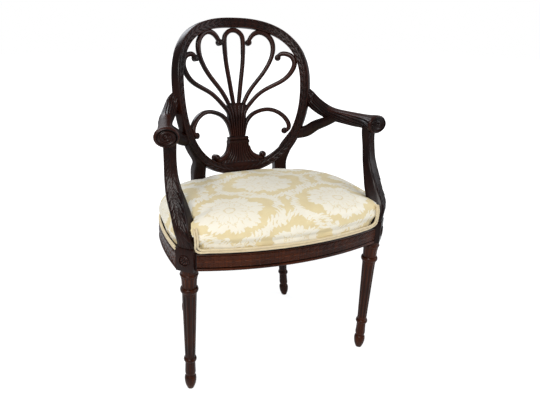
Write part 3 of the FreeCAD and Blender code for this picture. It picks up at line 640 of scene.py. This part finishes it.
splat_pieces.append(band("collar_band", 149, 158.5, half=34.5, front=10.5))
splat_pieces.append(band("pearl_ground", 158.5, 169.5, half=32.0, front=8.0))
splat_pieces.append(pearls())
for hand, way in HANDS:
    ear = strand("scroll_ear_" + hand, facing(SCROLL_EAR, way), count=120, depth=19.0, face=292.5)
    splat_pieces.append(ear)


# Legs, stiles and arms
LEG_PROFILE = [
    (0, 0.1), (0, 8.8), (2, 9.6), (12, 13.5), (22, 15.4), (31, 16), (37, 15.2), (41, 12.4), (43, 11.7),
    (46, 13.2), (50, 14.2), (54, 14.3), (86.5, 13.2), (87, 14.6), (89, 16.4), (93, 17.3), (97, 16.4),
    (99, 14.6), (99.5, 13.6), (103, 13.8), (292, 18.8), (296, 19.2), (297, 21.3), (299.5, 22.8),
    (303, 23.4), (306.5, 22.8), (309, 21.3), (310, 18.6), (316, 18.1), (328, 18.4), (338, 20.2),
    (342, 21.3), (343, 22.9), (346, 23.9), (349, 22.9), (350, 21.6), (361.5, 21.5), (361.8, 0.1)]


def turned_leg(name, foot, lean=0.0):
    """Turned leg with a fluted shaft; lean is how far it moves in X for each millimetre up."""
    z = np.array([p[0] for p in LEG_PROFILE], float)
    r = np.array([p[1] for p in LEG_PROFILE], float)
    fine_z, fine_r = [], []
    for k in range(len(z) - 1):
        n = 24 if z[k + 1] - z[k] > 60 else 2
        fine_z += list(np.linspace(z[k], z[k + 1], n, endpoint=False))
        fine_r += list(np.linspace(r[k], r[k + 1], n, endpoint=False))
    fine_z, fine_r = np.array(fine_z + [z[-1]]), np.array(fine_r + [r[-1]])
    rows, around, flutes, petals = len(fine_z) - 1, 120, 10, 12
    shaft = between(fine_z, 104, 291, 3.0)
    sleeve = between(fine_z, 55, 85, 2.0)
    neck = between(fine_z, 312, 341, 3.0)

    def place(i, j):
        a = 2 * math.pi * j / around
        flute = np.abs(np.cos(flutes / 2 * a)) ** 1.6
        deep = 1.9 * flute * (shaft[i] + 0.5 * sleeve[i])
        petal = np.abs(np.sin(petals / 2 * a)) * neck[i]
        rr = fine_r[i] - deep + 1.2 * petal
        x = foot[0] + lean * fine_z[i] + rr * np.cos(a)
        y = foot[1] + rr * np.sin(a)
        mark = 0.55 - 0.4 * flute * shaft[i] + 0.3 * petal
        return np.stack([x, y, fine_z[i]], -1), mark

    return lay_out(name, rows, around, place, 35)


def loft(name, rows, around, square, surface, smooth_angle=50):
    """Form through sections: each row is a centre, two half sizes and the two directions across it."""
    s = arc_length(rows[:, :3])
    a, b = unit(rows[:, 5:8]), unit(rows[:, 8:11])
    q = np.linspace(0, 2 * math.pi, around + 1)
    r = (np.abs(np.cos(q)) ** square + np.abs(np.sin(q)) ** square) ** (-1 / square)
    x, y = r * np.cos(q), r * np.sin(q)

    def place(i, j):
        half_x, half_y = rows[i, 3], rows[i, 4]
        nx = np.sign(x[j]) * np.abs(x[j]) ** (square - 1) / half_x
        ny = np.sign(y[j]) * np.abs(y[j]) ** (square - 1) / half_y
        scale = np.maximum(np.hypot(nx, ny), 1e-9)
        lift, mark = surface(s[i], s[-1], q[j % around], x[j], y[j], half_x, half_y)
        spot = rows[i, :3] + a[i] * (x[j] * half_x + lift * nx / scale)[:, None]
        return spot + b[i] * (y[j] * half_y + lift * ny / scale)[:, None], mark

    return lay_out(name, len(rows) - 1, around, place, smooth_angle)


def limb_rows(stations, count):
    """Rows for a limb from its centre line and its width and height at each station."""
    line = spline(stations, count)
    t = tangents(line[:, :3])
    side = unit(np.cross(t, np.array([0, 0, 1.0])))
    return np.hstack([line[:, :3], line[:, 3:5] / 2, side, unit(np.cross(side, t))])


def across_x(rows, way):
    """Rows of the sitter's left side, or their mirror image."""
    if way == 1:
        return rows
    out = rows.copy()
    out[:, [0, 5, 8]] *= -1
    return out


def stile_rows():
    """Straight post over the rear leg, turned to meet the hoop and then merged into it."""
    rows = []
    for z in (362.0, 386.0, 410.0, 450.0):
        rows.append([REAR_FOOT_X - REAR_LEAN * z, REAR_Y, z, 21, 20, 1, 0, 0, 0, 1, 0])
    for u, v, turn in ((136.5, 55, 6), (135.5, 77, 10)):
        c = drum(u, v, HOOP_FACE + 23)
        a = math.radians(turn)
        rows.append([c[0], REAR_Y, c[2], 20, 19, math.cos(a), -math.sin(a), 0, math.sin(a), math.cos(a), 0])
    middle = HOOP_FACE + 13.5
    for u, v, lean, wide in ((143, 107, 14, 40), (153, 128, 28, 39), (172, 154, 38, 36), (191, 186, 26, 27)):
        c = drum(u, v, middle)
        back = unit(drum(u, v, middle + 10) - c)
        up = unit(drum(u, v + 10, middle) - c)
        side = np.cross(back, up)
        side = side if side[0] > 0 else -side
        a = math.radians(lean)
        rows.append([*c, wide / 2, 11.5, *(side * math.cos(a) - up * math.sin(a)), *back])
    return spline(rows, 110)


def stile_moulding(s, total, q, x, y, half_x, half_y):
    """Two fine grooves down the front of the stile."""
    front = y < -0.5
    groove = ridge(np.abs(x), 0.68, 0.07) * between(s, 60, total - 20, 8)
    return np.where(front, -1.1 * groove, 0), np.where(front, 0.62 - 0.4 * groove, 0.5)


# The arm from its knob back to the hoop: steps from the knob, width and height.
ARM_LINE = [(KNOB_X + x, KNOB_Y + y, ARM_Z + z, wide, high) for x, y, z, wide, high in (
    (0, 0, 0, 62, 50), (-2, 14, 0, 62, 50), (-6, 38, 1, 48.36, 42), (-15, 78, 0, 43, 41),
    (-25, 122, 0, 40, 40), (-38, 178, 2, 40, 40), (-51, 210, 11, 40, 42), (-65, 235, 25, 39, 44),
    (-76.5, 252, 39, 37, 46), (-92.5, 257, 52, 34, 48), (-100.5, 257.5, 56, 32, 48))]


def arm_carving(s, total, q, x, y, half_x, half_y):
    """Spiral flutes round the arm, dying out on the smooth pad behind the knob."""
    flutes, twist, pad_length = 17, 26.0, 215
    wave = np.abs(np.cos(flutes / 2 * q + s / twist)) ** 1.5
    pad = share((y - 0.35) / 0.35) * share((pad_length - s) / 30)
    ends = between(s, 5, total, 8)
    edge = share(1 - s / 4.0) ** 2
    return -1.9 * (1 - pad) * ends * wave - 4 * edge, np.where(pad > 0.5, 0.95, 0.95 - 0.85 * wave * ends)


def brace_finish(s, total, q, x, y, half_x, half_y):
    """Two fine grooves along the top of the brace."""
    groove = ridge(np.abs(x), 0.6, 0.1) * (y > 0.3)
    return -1.0 * groove, 0.6 - 0.4 * groove


def support_rows():
    """S-shaped arm support, from the leg's block up to the arm: offset, height, size and turn."""
    rows = []
    for dx, dy, z, wide, deep, turn in (
            (0, 0, 424, 44, 44, 45), (3, 1, 444, 43, 46, 45), (6, 5, 458, 42, 49, 44),
            (8.5, 11, 472, 42, 49, 41), (10, 20, 486, 41.5, 48, 38.5), (11.5, 31, 500, 41.5, 45, 36),
            (14, 43, 515, 42, 41, 32), (16.5, 53, 530, 41.5, 37, 28), (18.5, 63.5, 545, 39, 33, 24),
            (19.5, 72, 560, 36.5, 30, 21), (20, 79, 575, 34.5, 27, 19), (20, 84, 592, 33, 25, 17),
            (19.5, 90, 620, 32, 24, 15),
            (18.5, 94, 644, 33, 26, 15), (18, 95, ARM_Z - 8, 34, 28, 15)):
        a = math.radians(turn)
        rows.append([LEG_X + dx, LEG_Y + dy, z, wide / 2, deep / 2, math.cos(a), math.sin(a), 0,
                     -math.sin(a), math.cos(a), 0])
    return spline(rows, 420)


def support_carving(s, total, q, x, y, half_x, half_y):
    """Long leaves laid up the front of the support, between fine edges."""
    front = y < -0.45
    leaves = garland(total - s + 4, x * half_x, pitch=24.0, half=17.0) * share((total - s - 2) / 10)
    field = np.abs(x) < 0.82
    edge = ridge(np.abs(x), 0.9, 0.06)
    lift = np.where(front, np.where(field, 2.0 * leaves - 1.0, 0.4 * edge), 0)
    return lift, np.where(front, np.where(field, leaves, 0.7), 0.55)


def on_face(name, centre, outward, half_wide, half_high, rings, around, height, smooth_angle):
    """Round relief on a face: height(r, a, last) gives its height and relief at radius r, angle a."""
    outward = unit(np.array(outward, float))
    side = unit(np.cross(outward, [0, 0, 1.0]))
    up = np.cross(side, outward)

    def place(i, j):
        r = i / rings
        a = 2 * math.pi * j / around
        h, mark = height(r, a, i == rings)
        p = np.array(centre) + np.outer(r * half_wide * np.cos(a), side)
        return p + np.outer(r * half_high * np.sin(a), up) + np.outer(h, outward), mark

    return lay_out(name, rings, around, place, smooth_angle)


def volute(name, centre, outward, half_wide, half_high, way):
    """Carved spiral on the end of the arm."""
    eye_r, rim_r = 0.16, 0.84

    def height(r, a, last):
        roll = (0.5 + 0.5 * np.cos(way * a + 2 * math.pi * 2.2 * r)) ** 0.7
        eye = share(1 - (r / eye_r) ** 2) ** 0.5
        h = np.where(r < eye_r, 2.2 + 2.4 * eye, 3.2 * roll)
        h = np.where(r > rim_r, 3.4 * ridge(r, 0.93, 0.06, 4), h)
        # Painted shade: the relief values stay between 0.05 and 0.55, so the whole face of the scroll is
        # painted darker, darkest in the spiral's groove.
        return np.where(last, -1.0, h + 0.3), np.where(r < eye_r, 0.5, 0.05 + 0.5 * roll)

    return on_face(name, centre, outward, half_wide, half_high, 60, 160, height, 55)


def patera(name, centre, outward):
    """Round flower of petals in a ring, lying on a face."""
    def height(r, a, last):
        petals = np.abs(np.cos(4 * a)) ** 0.5 * ridge(r, 0.52, 0.2, 4)
        rim = ridge(r, 0.9, 0.07, 4)
        eye = share(1 - (r / 0.2) ** 2) ** 0.5
        h = 2.6 * np.maximum(np.maximum(0.75 * petals, rim), eye)
        return np.where(last, -0.2, h), np.maximum(np.maximum(petals, rim), eye)

    return on_face(name, centre, outward, 15.5, 15.5, 40, 96, height, 50)


def block(name, x, y):
    """Square block of a front leg with softened arrises, set at 45 degrees."""
    bpy.ops.mesh.primitive_cube_add(size=1)
    obj = bpy.context.object
    obj.name = obj.data.name = name
    high = BLOCK_TOP - RAIL_LOW
    for step in (Matrix.Translation((0, 0, 0.5)), Matrix.Diagonal((BLOCK_SIZE, BLOCK_SIZE, high, 1)),
                 Matrix.Rotation(math.radians(45), 4, "Z"), Matrix.Translation((x, y, RAIL_LOW)),
                 Matrix.Scale(MM, 4)):
        obj.data.transform(step)
    bevel = obj.modifiers.new("arris", "BEVEL")
    bevel.width, bevel.segments = 1.2 * MM, 2
    bpy.context.view_layer.objects.active = obj
    bpy.ops.object.modifier_apply(modifier="arris")
    mark_carving(obj, 0.5)
    return settle(obj, 30)


# Seat rails
def circle_through(a, b, c):
    """Centre of the circle through three points."""
    m = 2 * np.array([[b[0] - a[0], b[1] - a[1]], [c[0] - a[0], c[1] - a[1]]])
    square = a[0]**2 + a[1]**2
    return np.linalg.solve(m, [b[0]**2 + b[1]**2 - square, c[0]**2 + c[1]**2 - square])


def arc_points(centre, start, end, count):
    a0 = math.atan2(start[1] - centre[1], start[0] - centre[0])
    a1 = math.atan2(end[1] - centre[1], end[0] - centre[0])
    a = np.linspace(a0, a1, count)
    r = math.hypot(start[0] - centre[0], start[1] - centre[1])
    return np.stack([centre[0] + r * np.cos(a), centre[1] + r * np.sin(a)], -1)


def plan_edge():
    """Outer edge of the front rail, and of the side rail on the sitter's left, seen from above."""
    front_end, flank_start = (261.5, -217), (299.5, -196)
    front = circle_through((-261.5, -217), (0, -260), front_end)
    flank_end = np.array([299.0, -4.0])
    flank = circle_through(flank_start, (305, -94), flank_end)
    out = unit(flank_end - flank)
    rear_end = np.array([166.0, 159.5])
    chord = rear_end - flank_end
    rear = flank_end + out * chord.dot(chord) / (2 * chord.dot(out))
    side = np.vstack([arc_points(flank, flank_start, flank_end, 160)[:-1],
                      arc_points(rear, flank_end, rear_end, 200)])
    return arc_points(front, (-261.5, -217), front_end, 400), side


def even_path(path, count, pull=0.0):
    """Evenly spaced points of a plan path drawn in by pull, their outward directions and lengths."""
    s = arc_length(path)
    even = np.linspace(0, s[-1], count)
    p = np.stack([np.interp(even, s, path[:, 0]), np.interp(even, s, path[:, 1])], -1)
    t = tangents(p)
    out = np.stack([t[:, 1], -t[:, 0]], -1)
    return p - out * pull, out, even


def rail_carving(name, path):
    """Band of leaves along a rail, with a plain bead below it."""
    p, out, s = even_path(path, 900)
    low, high, middle_z = RAIL_LOW + 0.4, RAIL_TOP - 1.0, 388.5
    bead_z, bead_half, upper_z, lower_z = 366.6, 3.8, 405.5, 373.6
    loop = [(h, 0) for h in np.linspace(high, low, 53)] + [(low, -1), (high, -1)]
    loop = np.array(loop + loop[:1])
    middle = s[-1] / 2

    def place(i, j):
        h, back = loop[j, 0], loop[j, 1]
        leaves = garland(np.abs(s[i] - middle) + 8, h - middle_z, pitch=25.0, half=19.0)
        field = np.abs(h - middle_z) < 15
        bead = np.sqrt(share(1 - ((h - bead_z) / bead_half) ** 2))
        fillet = ridge(h, upper_z, 1.6, 4) + ridge(h, lower_z, 1.3, 4)
        lift = np.where(field, 3.4 * leaves, np.maximum(3.4 * bead, 1.8 * fillet)) + 0.25
        lift = np.where(back < 0, -1.5, lift)
        mark = np.where(field, leaves, np.maximum(bead, 0.5 * fillet) * 0.8)
        return np.column_stack([p[i] + out[i] * lift[:, None], h]), np.where(back < 0, 0.3, mark)

    return lay_out(name, len(p) - 1, len(loop) - 1, place, 50)


# Seat cover
def tube(name, path):
    """Round cord along a path, drawn in at both ends."""
    around = 18
    t = tangents(path)
    side = unit(np.cross(t, np.array([0, 0, 1.0])))
    side[np.abs(t[:, 2]) > 0.95] = side[np.argmin(np.abs(t[:, 2]))]
    for k in range(1, len(side)):
        flat = side[k - 1] - t[k] * np.dot(side[k - 1], t[k])
        side[k] = flat / np.linalg.norm(flat)
    up = np.cross(side, t)

    def place(i, j):
        a = 2 * math.pi * j / around
        r = CORD_RADIUS * np.clip(np.minimum(i, len(path) - 1 - i) / 2.0, 0.35, 1)
        spot = path[i] + side[i] * (r * np.cos(a))[:, None] + up[i] * (r * np.sin(a))[:, None]
        return spot, np.full(len(i), 0.5)

    return lay_out(name, len(path) - 1, around, place, 60)


def twin_cord(name, paths):
    return joined(name, [tube("cord_%d" % k, path) for k, path in enumerate(paths)])


def front_welt(front_path):
    """Twin cords along the front, turned up beside both posts."""
    p = even_path(front_path, 300, CORD_PULL)[0]
    paths = []
    for z, reach, high in zip(CORD_Z, (259.6, 253.8), (474.0, 476.0)):
        keep = np.abs(p[:, 0]) < reach - 7
        run = np.column_stack([p[keep], np.full(keep.sum(), z)])
        y_end = np.interp(reach, p[:, 0], p[:, 1])
        rise = [(reach, y_end - 0.5, z + 7), (reach + 0.5, y_end - 2.5, z + 18),
                (reach + 1, y_end - 3.5, 445), (reach + 2, y_end - 1, 462), (reach + 3, y_end + 6, high)]
        left = [(-x, y, h) for x, y, h in reversed(rise)]
        paths.append(spline(np.vstack([left, run[::12], rise]), 520))
    return twin_cord("twin_cord_front", paths)


def side_welt(name, path, way):
    """Twin cords along a side, from the post to the stile."""
    p = even_path(path, 360, CORD_PULL)[0]
    p = p[(p[:, 1] > -184.5) & (p[:, 0] > 172)]
    return twin_cord(name, [np.column_stack([p[:, 0] * way, p[:, 1], np.full(len(p), z)]) for z in CORD_Z])


def back_welt():
    """Twin cords along the back, between the stiles."""
    x = np.linspace(-118, 118, 60)
    return twin_cord("twin_cord_back", [np.column_stack([x, np.full(60, 178.7), np.full(60, z)])
                                        for z in CORD_Z])


def cushion():
    """Stuffed seat: the solid's form, drawn in a little, blown up as cloth and fitted to the frame."""
    obj = bpy.data.objects.new("stuffed_seat", nodes["seat_cushion"].data.copy())
    bpy.context.scene.collection.objects.link(obj)
    obj.data.materials.clear()
    pick(obj)
    bpy.ops.object.mode_set(mode="EDIT")
    bpy.ops.mesh.select_all(action="SELECT")
    bpy.ops.mesh.remove_doubles(threshold=MERGE * MM)
    bpy.ops.mesh.normals_make_consistent(inside=False)
    bpy.ops.object.mode_set(mode="OBJECT")
    obj.data.remesh_voxel_size = 5.5 * MM
    bpy.ops.object.voxel_remesh()
    rest, normal = vertex_rows(obj), vertex_rows(obj, "normal")
    shape = rest - normal * 3.0 * MM
    set_vertices(obj, shape)
    shape = blown_up(obj, rest, shape)
    set_vertices(obj, fitted(shape, rest, normal))
    relax = obj.modifiers.new("ease", "SMOOTH")
    relax.factor, relax.iterations = 0.5, 4
    bpy.ops.object.modifier_apply(modifier="ease")
    fine = obj.modifiers.new("fine", "SUBSURF")
    fine.levels = fine.render_levels = 1
    bpy.ops.object.modifier_apply(modifier="fine")
    bpy.ops.object.shade_smooth()
    spread_cloth(obj)
    return obj


def blown_up(obj, rest, start):
    """The cover under the stuffing's pressure, sewn down at its foot; no point moves past the cap."""
    cap, frames = 6.0 * MM, 20
    pin = obj.vertex_groups.new(name="sewn_foot")
    pin.add([int(k) for k in np.where(rest[:, 2] < (RAIL_TOP + 10) * MM)[0]], 1.0, "REPLACE")
    cloth = obj.modifiers.new("stuffing", "CLOTH")
    cloth.settings.use_pressure = True
    cloth.settings.uniform_pressure_force = 4.0
    cloth.settings.effector_weights.gravity = 0.0
    cloth.settings.quality = 4
    cloth.settings.vertex_group_mass = "sewn_foot"
    cloth.point_cache.frame_start, cloth.point_cache.frame_end = 1, frames
    for step in range(1, frames + 1):
        bpy.context.scene.frame_set(step)
    pick(obj)
    bpy.ops.object.modifier_apply(modifier="stuffing")
    bpy.context.scene.frame_set(1)
    obj.vertex_groups.clear()
    move = vertex_rows(obj) - start
    length = np.linalg.norm(move, axis=1, keepdims=True)
    shape = start + move * np.minimum(1, cap / np.maximum(length, 1e-9))
    set_vertices(obj, shape)
    return shape


def level_part(normal):
    """Level direction that a normal points in."""
    return normal[:, :2] / np.maximum(np.linalg.norm(normal[:, :2], axis=1, keepdims=True), 1e-6)


def fitted(shape, rest, normal):
    """The cover pulled out over the cords at its foot and kept within the posts and the stiles."""
    diagonal = 0.7071
    from_post = np.hypot(np.abs(rest[:, 0]) - 0.272, rest[:, 1] + 0.192)
    low = share((0.452 - rest[:, 2]) / 0.03) * share((rest[:, 2] - 0.411) / 0.004)
    clear = share((from_post - 0.033) / 0.012) * (rest[:, 1] < 0.12)
    upright = share(1 - np.abs(normal[:, 2]))
    shape[:, :2] += level_part(normal) * (0.0065 * low * clear * upright)[:, None]
    # The shoulder behind the arm supports is lifted.
    shoulder = share((rest[:, 0] * 0.6 + rest[:, 1]) / 0.16)
    shoulder *= share((rest[:, 2] - 0.455) / 0.02)
    shape[:, 2] += 0.0045 * shoulder * clear
    # What reaches outside a post's diagonal is moved back along it.
    out = (np.abs(shape[:, 0]) - 0.273) * diagonal - (shape[:, 1] + 0.193) * diagonal
    over = np.clip(out - 0.018, 0, None) * diagonal
    shape[:, 0] -= over * np.sign(shape[:, 0])
    shape[:, 1] += over
    # Beside the stiles nothing passes behind them.
    stile_x = REAR_FOOT_X * MM - 0.10465 * shape[:, 2]
    beside = np.abs(np.abs(shape[:, 0]) - stile_x)
    shape[:, 1] = np.minimum(shape[:, 1], 0.170 + 0.02 * share((beside - 0.021) / 0.006))
    return shape


def spread_cloth(obj):
    """Cloth coordinates in metres: from above on the crown, and down over the sides."""
    co, normal = vertex_rows(obj), vertex_rows(obj, "normal")
    slope = share(1 - normal[:, 2])[:, None]
    drop = share(0.485 - co[:, 2])[:, None]
    uv = co[:, :2] + level_part(normal) * drop * slope
    loops = np.empty(len(obj.data.loops), dtype=np.int32)
    obj.data.loops.foreach_get("vertex_index", loops)
    layer = obj.data.uv_layers.new(name="cloth")
    layer.data.foreach_set("uv", uv[loops].astype(np.float32).ravel())


front_path, side_path = plan_edge()
# The side rails' faces run from the post to the stile.
side_run = side_path[(side_path[:, 1] > -190.5) & (side_path[:, 0] > 168)]
for side, way in SIDES:
    leg = turned_leg("front_turning_" + side, (way * LEG_X, LEG_Y))
    cube = block("front_block_" + side, way * LEG_X, LEG_Y)
    out = np.array([way * math.sqrt(0.5), -math.sqrt(0.5), 0])
    face = BLOCK_SIZE / 2 - 0.1
    flower = patera("patera_" + side, (way * LEG_X + out[0] * face, LEG_Y + out[1] * face, 391.5), out)
    dress(leg, wood["leg"], "mahogany", "front_leg_" + side)
    dress(cube, wood["carved"], "mahogany")
    dress(flower, wood["carved"], "mahogany")

brace_root = drum(188.0, 172.0, HOOP_FACE + 14)
BRACE_LINE = [(*brace_root, 24, 36), (208, 109, 618, 22, 36), (226, 92, 636, 22, 34), (244, 66, 652, 22, 30),
              (258, 42, 668, 22, 28), (262, 32, 673, 22, 26)]
for side, way in SIDES:
    rear = turned_leg("rear_turning_" + side, (way * REAR_FOOT_X, REAR_Y), -way * REAR_LEAN)
    stile = loft("stile_" + side, across_x(stile_rows(), way), 64, 7.0, stile_moulding, 40)
    arm = loft("carved_arm_" + side, across_x(limb_rows(ARM_LINE, 300), way), 176, 2.0, arm_carving, 60)
    brace = loft("brace_" + side, across_x(limb_rows(BRACE_LINE, 90), way), 64, 2.6, brace_finish)
    support = loft("carved_support_" + side, across_x(support_rows(), way), 200, 5.0, support_carving)
    tip = (way * KNOB_X, KNOB_Y + 0.6, ARM_Z)
    scroll = volute("arm_volute_" + side, tip, (way * 0.14, -1, 0), 27.5, 22.0, way)
    for piece, node in ((rear, "rear_leg_"), (stile, "rear_leg_"), (arm, "arm_"), (scroll, "arm_"),
                        (brace, "arm_brace_"), (support, "arm_support_")):
        dress(piece, wood["leg" if piece is rear else "carved"], "mahogany", node + side)
    rail = rail_carving("side_rail_carving_" + side, (side_run * (way, 1))[::way])
    dress(rail, wood["leg"], "mahogany")
    cords = side_welt("twin_cord_side_" + side, side_path, way)
    dress(cords, welt_cloth, "welt_cord", "welt_side_" + side)

front_run = front_path[np.abs(front_path[:, 0]) < 257.5]
dress(rail_carving("front_rail_carving", front_run), wood["leg"], "mahogany")
dress(front_welt(front_path), welt_cloth, "welt_cord", "welt_front")
dress(back_welt(), welt_cloth, "welt_cord", "welt_back")
seat = cushion()
dress(seat, damask(), "damask", "seat_cushion")

dress(hoop_piece, wood["carved"], "mahogany", "crest_rail", "lower_back_rail")
for piece in splat_pieces:
    dress(piece, wood["carved"], "mahogany", "splat")


# Camera, floor and light
def aim_camera():
    """Camera of the photograph, from a fit to the chair's own edges."""
    azimuth, elevation, roll = math.radians(-21.0), math.radians(19.26), math.radians(1.09)
    ahead = Vector((-math.sin(azimuth) * math.cos(elevation), math.cos(azimuth) * math.cos(elevation),
                    -math.sin(elevation)))
    level = Vector((math.cos(azimuth), math.sin(azimuth), 0))
    up = level.cross(ahead)
    right = math.cos(roll) * level + math.sin(roll) * up
    top = -math.sin(roll) * level + math.cos(roll) * up
    data = bpy.data.cameras.new("photo_camera")
    camera = bpy.data.objects.new("photo_camera", data)
    bpy.context.scene.collection.objects.link(camera)
    turn = Matrix((right, top, -ahead)).transposed().to_4x4()
    camera.matrix_world = Matrix.Translation((-0.54951, -1.22045, 0.92827)) @ turn
    data.sensor_width = 36.0
    data.lens = 31.938
    data.shift_x, data.shift_y = 0.0677, -0.0163
    data.clip_start, data.clip_end = 0.05, 60
    bpy.context.scene.camera = camera


def camera_sees(tree):
    """1 where the camera looks straight at a thing, 0 where light reaches it by other ways."""
    return Value(tree, tree.nodes.new("ShaderNodeLightPath").outputs["Is Camera Ray"])


def blend(tree, factor, first, second, output):
    """Mixes two shaders by a factor and feeds the surface."""
    node = tree.nodes.new("ShaderNodeMixShader")
    for slot, socket in enumerate((factor.socket, first.outputs[0], second.outputs[0])):
        tree.links.new(socket, node.inputs[slot])
    tree.links.new(node.outputs[0], tree.nodes[output].inputs["Surface"])


def white_stage():
    """Pale floor that keeps a soft shadow and reads as white, under a pale sky."""
    bpy.ops.mesh.primitive_plane_add(size=30, location=(0, 0, 0))
    floor = bpy.context.object
    floor.name = "studio_floor"
    mat, tree, shader = new_material("white_floor")
    fill(shader, {"Base Color": (0.86, 0.86, 0.86, 1), "Roughness": 0.9})
    x, y = split_xy(tree, object_coords(tree))
    far = (x * x + y * y).op("SQRT").ramp(0.7, 1.8)
    glow = tree.nodes.new("ShaderNodeEmission")
    glow.inputs["Strength"].default_value = 1.39
    blend(tree, camera_sees(tree) * (far * 0.4 + 0.6), shader, glow, "Material Output")
    floor.data.materials.append(mat)
    world = bpy.data.worlds.new("studio_world")
    bpy.context.scene.world = world
    world.use_nodes = True
    tree = world.node_tree
    sky, white = tree.nodes["Background"], tree.nodes.new("ShaderNodeBackground")
    fill(sky, {"Color": (0.93, 0.96, 1.0, 1), "Strength": 0.38})
    fill(white, {"Color": (1, 1, 1, 1)})
    blend(tree, camera_sees(tree), sky, white, "World Output")


def lamp(name, spot, target, size, power, colour=(1, 1, 1)):
    data = bpy.data.lights.new(name, "AREA")
    data.shape, data.size, data.energy, data.color = "DISK", size, power, colour
    obj = bpy.data.objects.new(name, data)
    obj.location = spot
    obj.rotation_euler = (Vector(target) - Vector(spot)).to_track_quat("-Z", "Y").to_euler()
    bpy.context.scene.collection.objects.link(obj)


aim_camera()
white_stage()
lamp("key_left_front", (-1.8, -2.2, 2.6), (0, 0, 0.55), 1.6, 75, (1.0, 0.98, 0.95))
lamp("fill_right", (2.4, -1.2, 1.8), (0, 0, 0.5), 1.8, 26, (0.92, 0.95, 1.0))
lamp("rim_back", (-0.6, 2.4, 2.4), (0, 0, 0.7), 1.6, 32, (0.9, 0.94, 1.0))
bpy.context.scene.view_settings.view_transform = "Standard"
